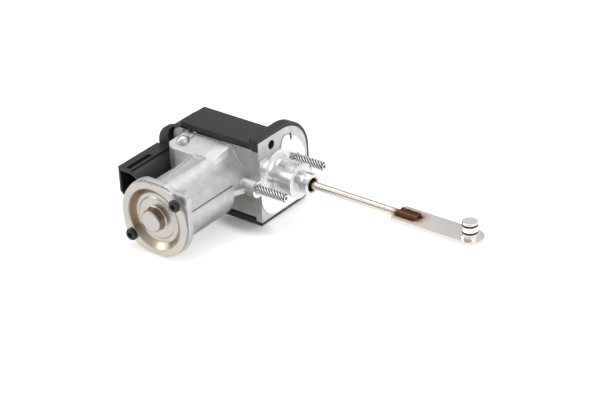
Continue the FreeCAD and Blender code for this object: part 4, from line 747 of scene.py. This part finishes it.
def threadedStud(name, place):
    look = studLook
    y, z = place
    length = look["to"]
    depth = look["crest"] - look["groove"]
    turns = length / look["lead"]
    deselectAll()
    bpy.ops.mesh.primitive_circle_add(vertices=look["around"], radius=1.0, rotation=(0, math.pi / 2, 0))
    piece = bpy.context.object
    piece.name = name + "_finished"
    settle(piece)
    for point in piece.data.vertices:
        angle = math.atan2(point.co.z, point.co.y)
        wave = (angle * look["starts"] / (2 * math.pi)) % 1.0
        rise = min(1.0, max(0.0, look["steep"] * abs(wave - 0.5) - look["valley"]))
        radius = (look["groove"] + depth * rise) * mm
        point.co = (0, math.cos(angle) * radius, math.sin(angle) * radius)
    twist = piece.modifiers.new("threads", "SCREW")
    twist.axis = "X"
    twist.angle = turns * 2 * math.pi
    twist.screw_offset = length * mm
    twist.steps = int(turns * look["slicesPerTurn"])
    twist.render_steps = twist.steps
    twist.use_merge_vertices = False
    bpy.ops.object.modifier_apply(modifier=twist.name)
    bpy.ops.object.mode_set(mode="EDIT")
    bpy.ops.mesh.select_all(action="DESELECT")
    bpy.ops.mesh.select_non_manifold(extend=False)
    bpy.ops.mesh.edge_face_add()
    bpy.ops.mesh.select_all(action="SELECT")
    bpy.ops.mesh.normals_make_consistent(inside=False)
    bpy.ops.object.mode_set(mode="OBJECT")
    for point in piece.data.vertices:
        reach = math.hypot(point.co.y, point.co.z) / mm
        limit = look["crest"] - max(0.0, point.co.x / mm - (length - look["tip"]))
        if reach > limit:
            point.co.y *= limit / reach
            point.co.z *= limit / reach
    for finishOrShade in ("litZincSteel", "grooveShade", "holeShade"):
        piece.data.materials.append(materials[finishOrShade])
    # painted shade in the grooves: faces below mid-depth of the thread get the near-black look, and the
    # crests get the lighter zinc steel as a painted highlight
    shadeBelow = look["groove"] + depth / 2 + look["brightFrom"]
    for face in piece.data.polygons:
        if abs(face.normal.x) < look["endFacing"] and math.hypot(face.center.y, face.center.z) / mm < shadeBelow:
            face.material_index = 1
    root = roundAlongX(look["rootSides"], look["rootRadius"], -look["from"], look["from"] / 2, "litZincSteel")
    # painted shade: a thin near-black hexagon on the end stands for the shade in a socket
    drive = roundAlongX(look["driveSides"], look["drive"], look["driveDepth"], length, "holeShade")
    deselectAll()
    for part in (piece, root, drive):
        part.select_set(True)
    bpy.context.view_layer.objects.active = piece
    bpy.ops.object.join()
    piece.location = (0, y * mm, z * mm)
    settle(piece)
    bpy.ops.object.shade_smooth_by_angle(angle=math.radians(look["smooth"]))
    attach(piece, bodyOf[name])
    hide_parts(name)
    return piece


# weld beads: overlapping drops along both sides of the rod's end

weldLook = {
    "names": {"weld_near": -1, "weld_far": 1}, "from": 93.6, "to": 106.0, "drops": 10,
    "aside": 3.15, "above": 1.35, "radius": 1.7, "squash": (0.75, 1.0, 0.85), "segments": 20, "rings": 12,
    "sway": 0.12, "swayStep": 2.3, "swell": 0.06, "swellStep": 1.7,
}


def beadOf(name, side):
    look = weldLook
    deselectAll()
    drops = []
    span = look["to"] - look["from"]
    for n in range(look["drops"]):
        x = look["from"] + span * n / (look["drops"] - 1)
        aside = side * (look["aside"] + look["sway"] * math.sin(n * look["swayStep"] + side))
        radius = look["radius"] * (1 + look["swell"] * math.cos(n * look["swellStep"]))
        bpy.ops.mesh.primitive_uv_sphere_add(
            segments=look["segments"], ring_count=look["rings"], radius=radius * mm,
            location=(x * mm, aside * mm, look["above"] * mm))
        drop = bpy.context.object
        drop.scale = look["squash"]
        drops.append(drop)
    deselectAll()
    for drop in drops:
        drop.select_set(True)
    bead = drops[0]
    bpy.context.view_layer.objects.active = bead
    bpy.ops.object.join()
    bead.name = name + "_finished"
    settle(bead)
    bpy.ops.object.shade_smooth()
    bead.data.materials.append(materials["weldMetal"])
    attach(bead, bodyOf[name])
    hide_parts(name)
    return bead


for name, side in weldLook["names"].items():
    finished[name] = beadOf(name, side)
print("welds laid")

for name, place in studLook["places"].items():
    finished[name] = threadedStud(name, place)
print("studs threaded")
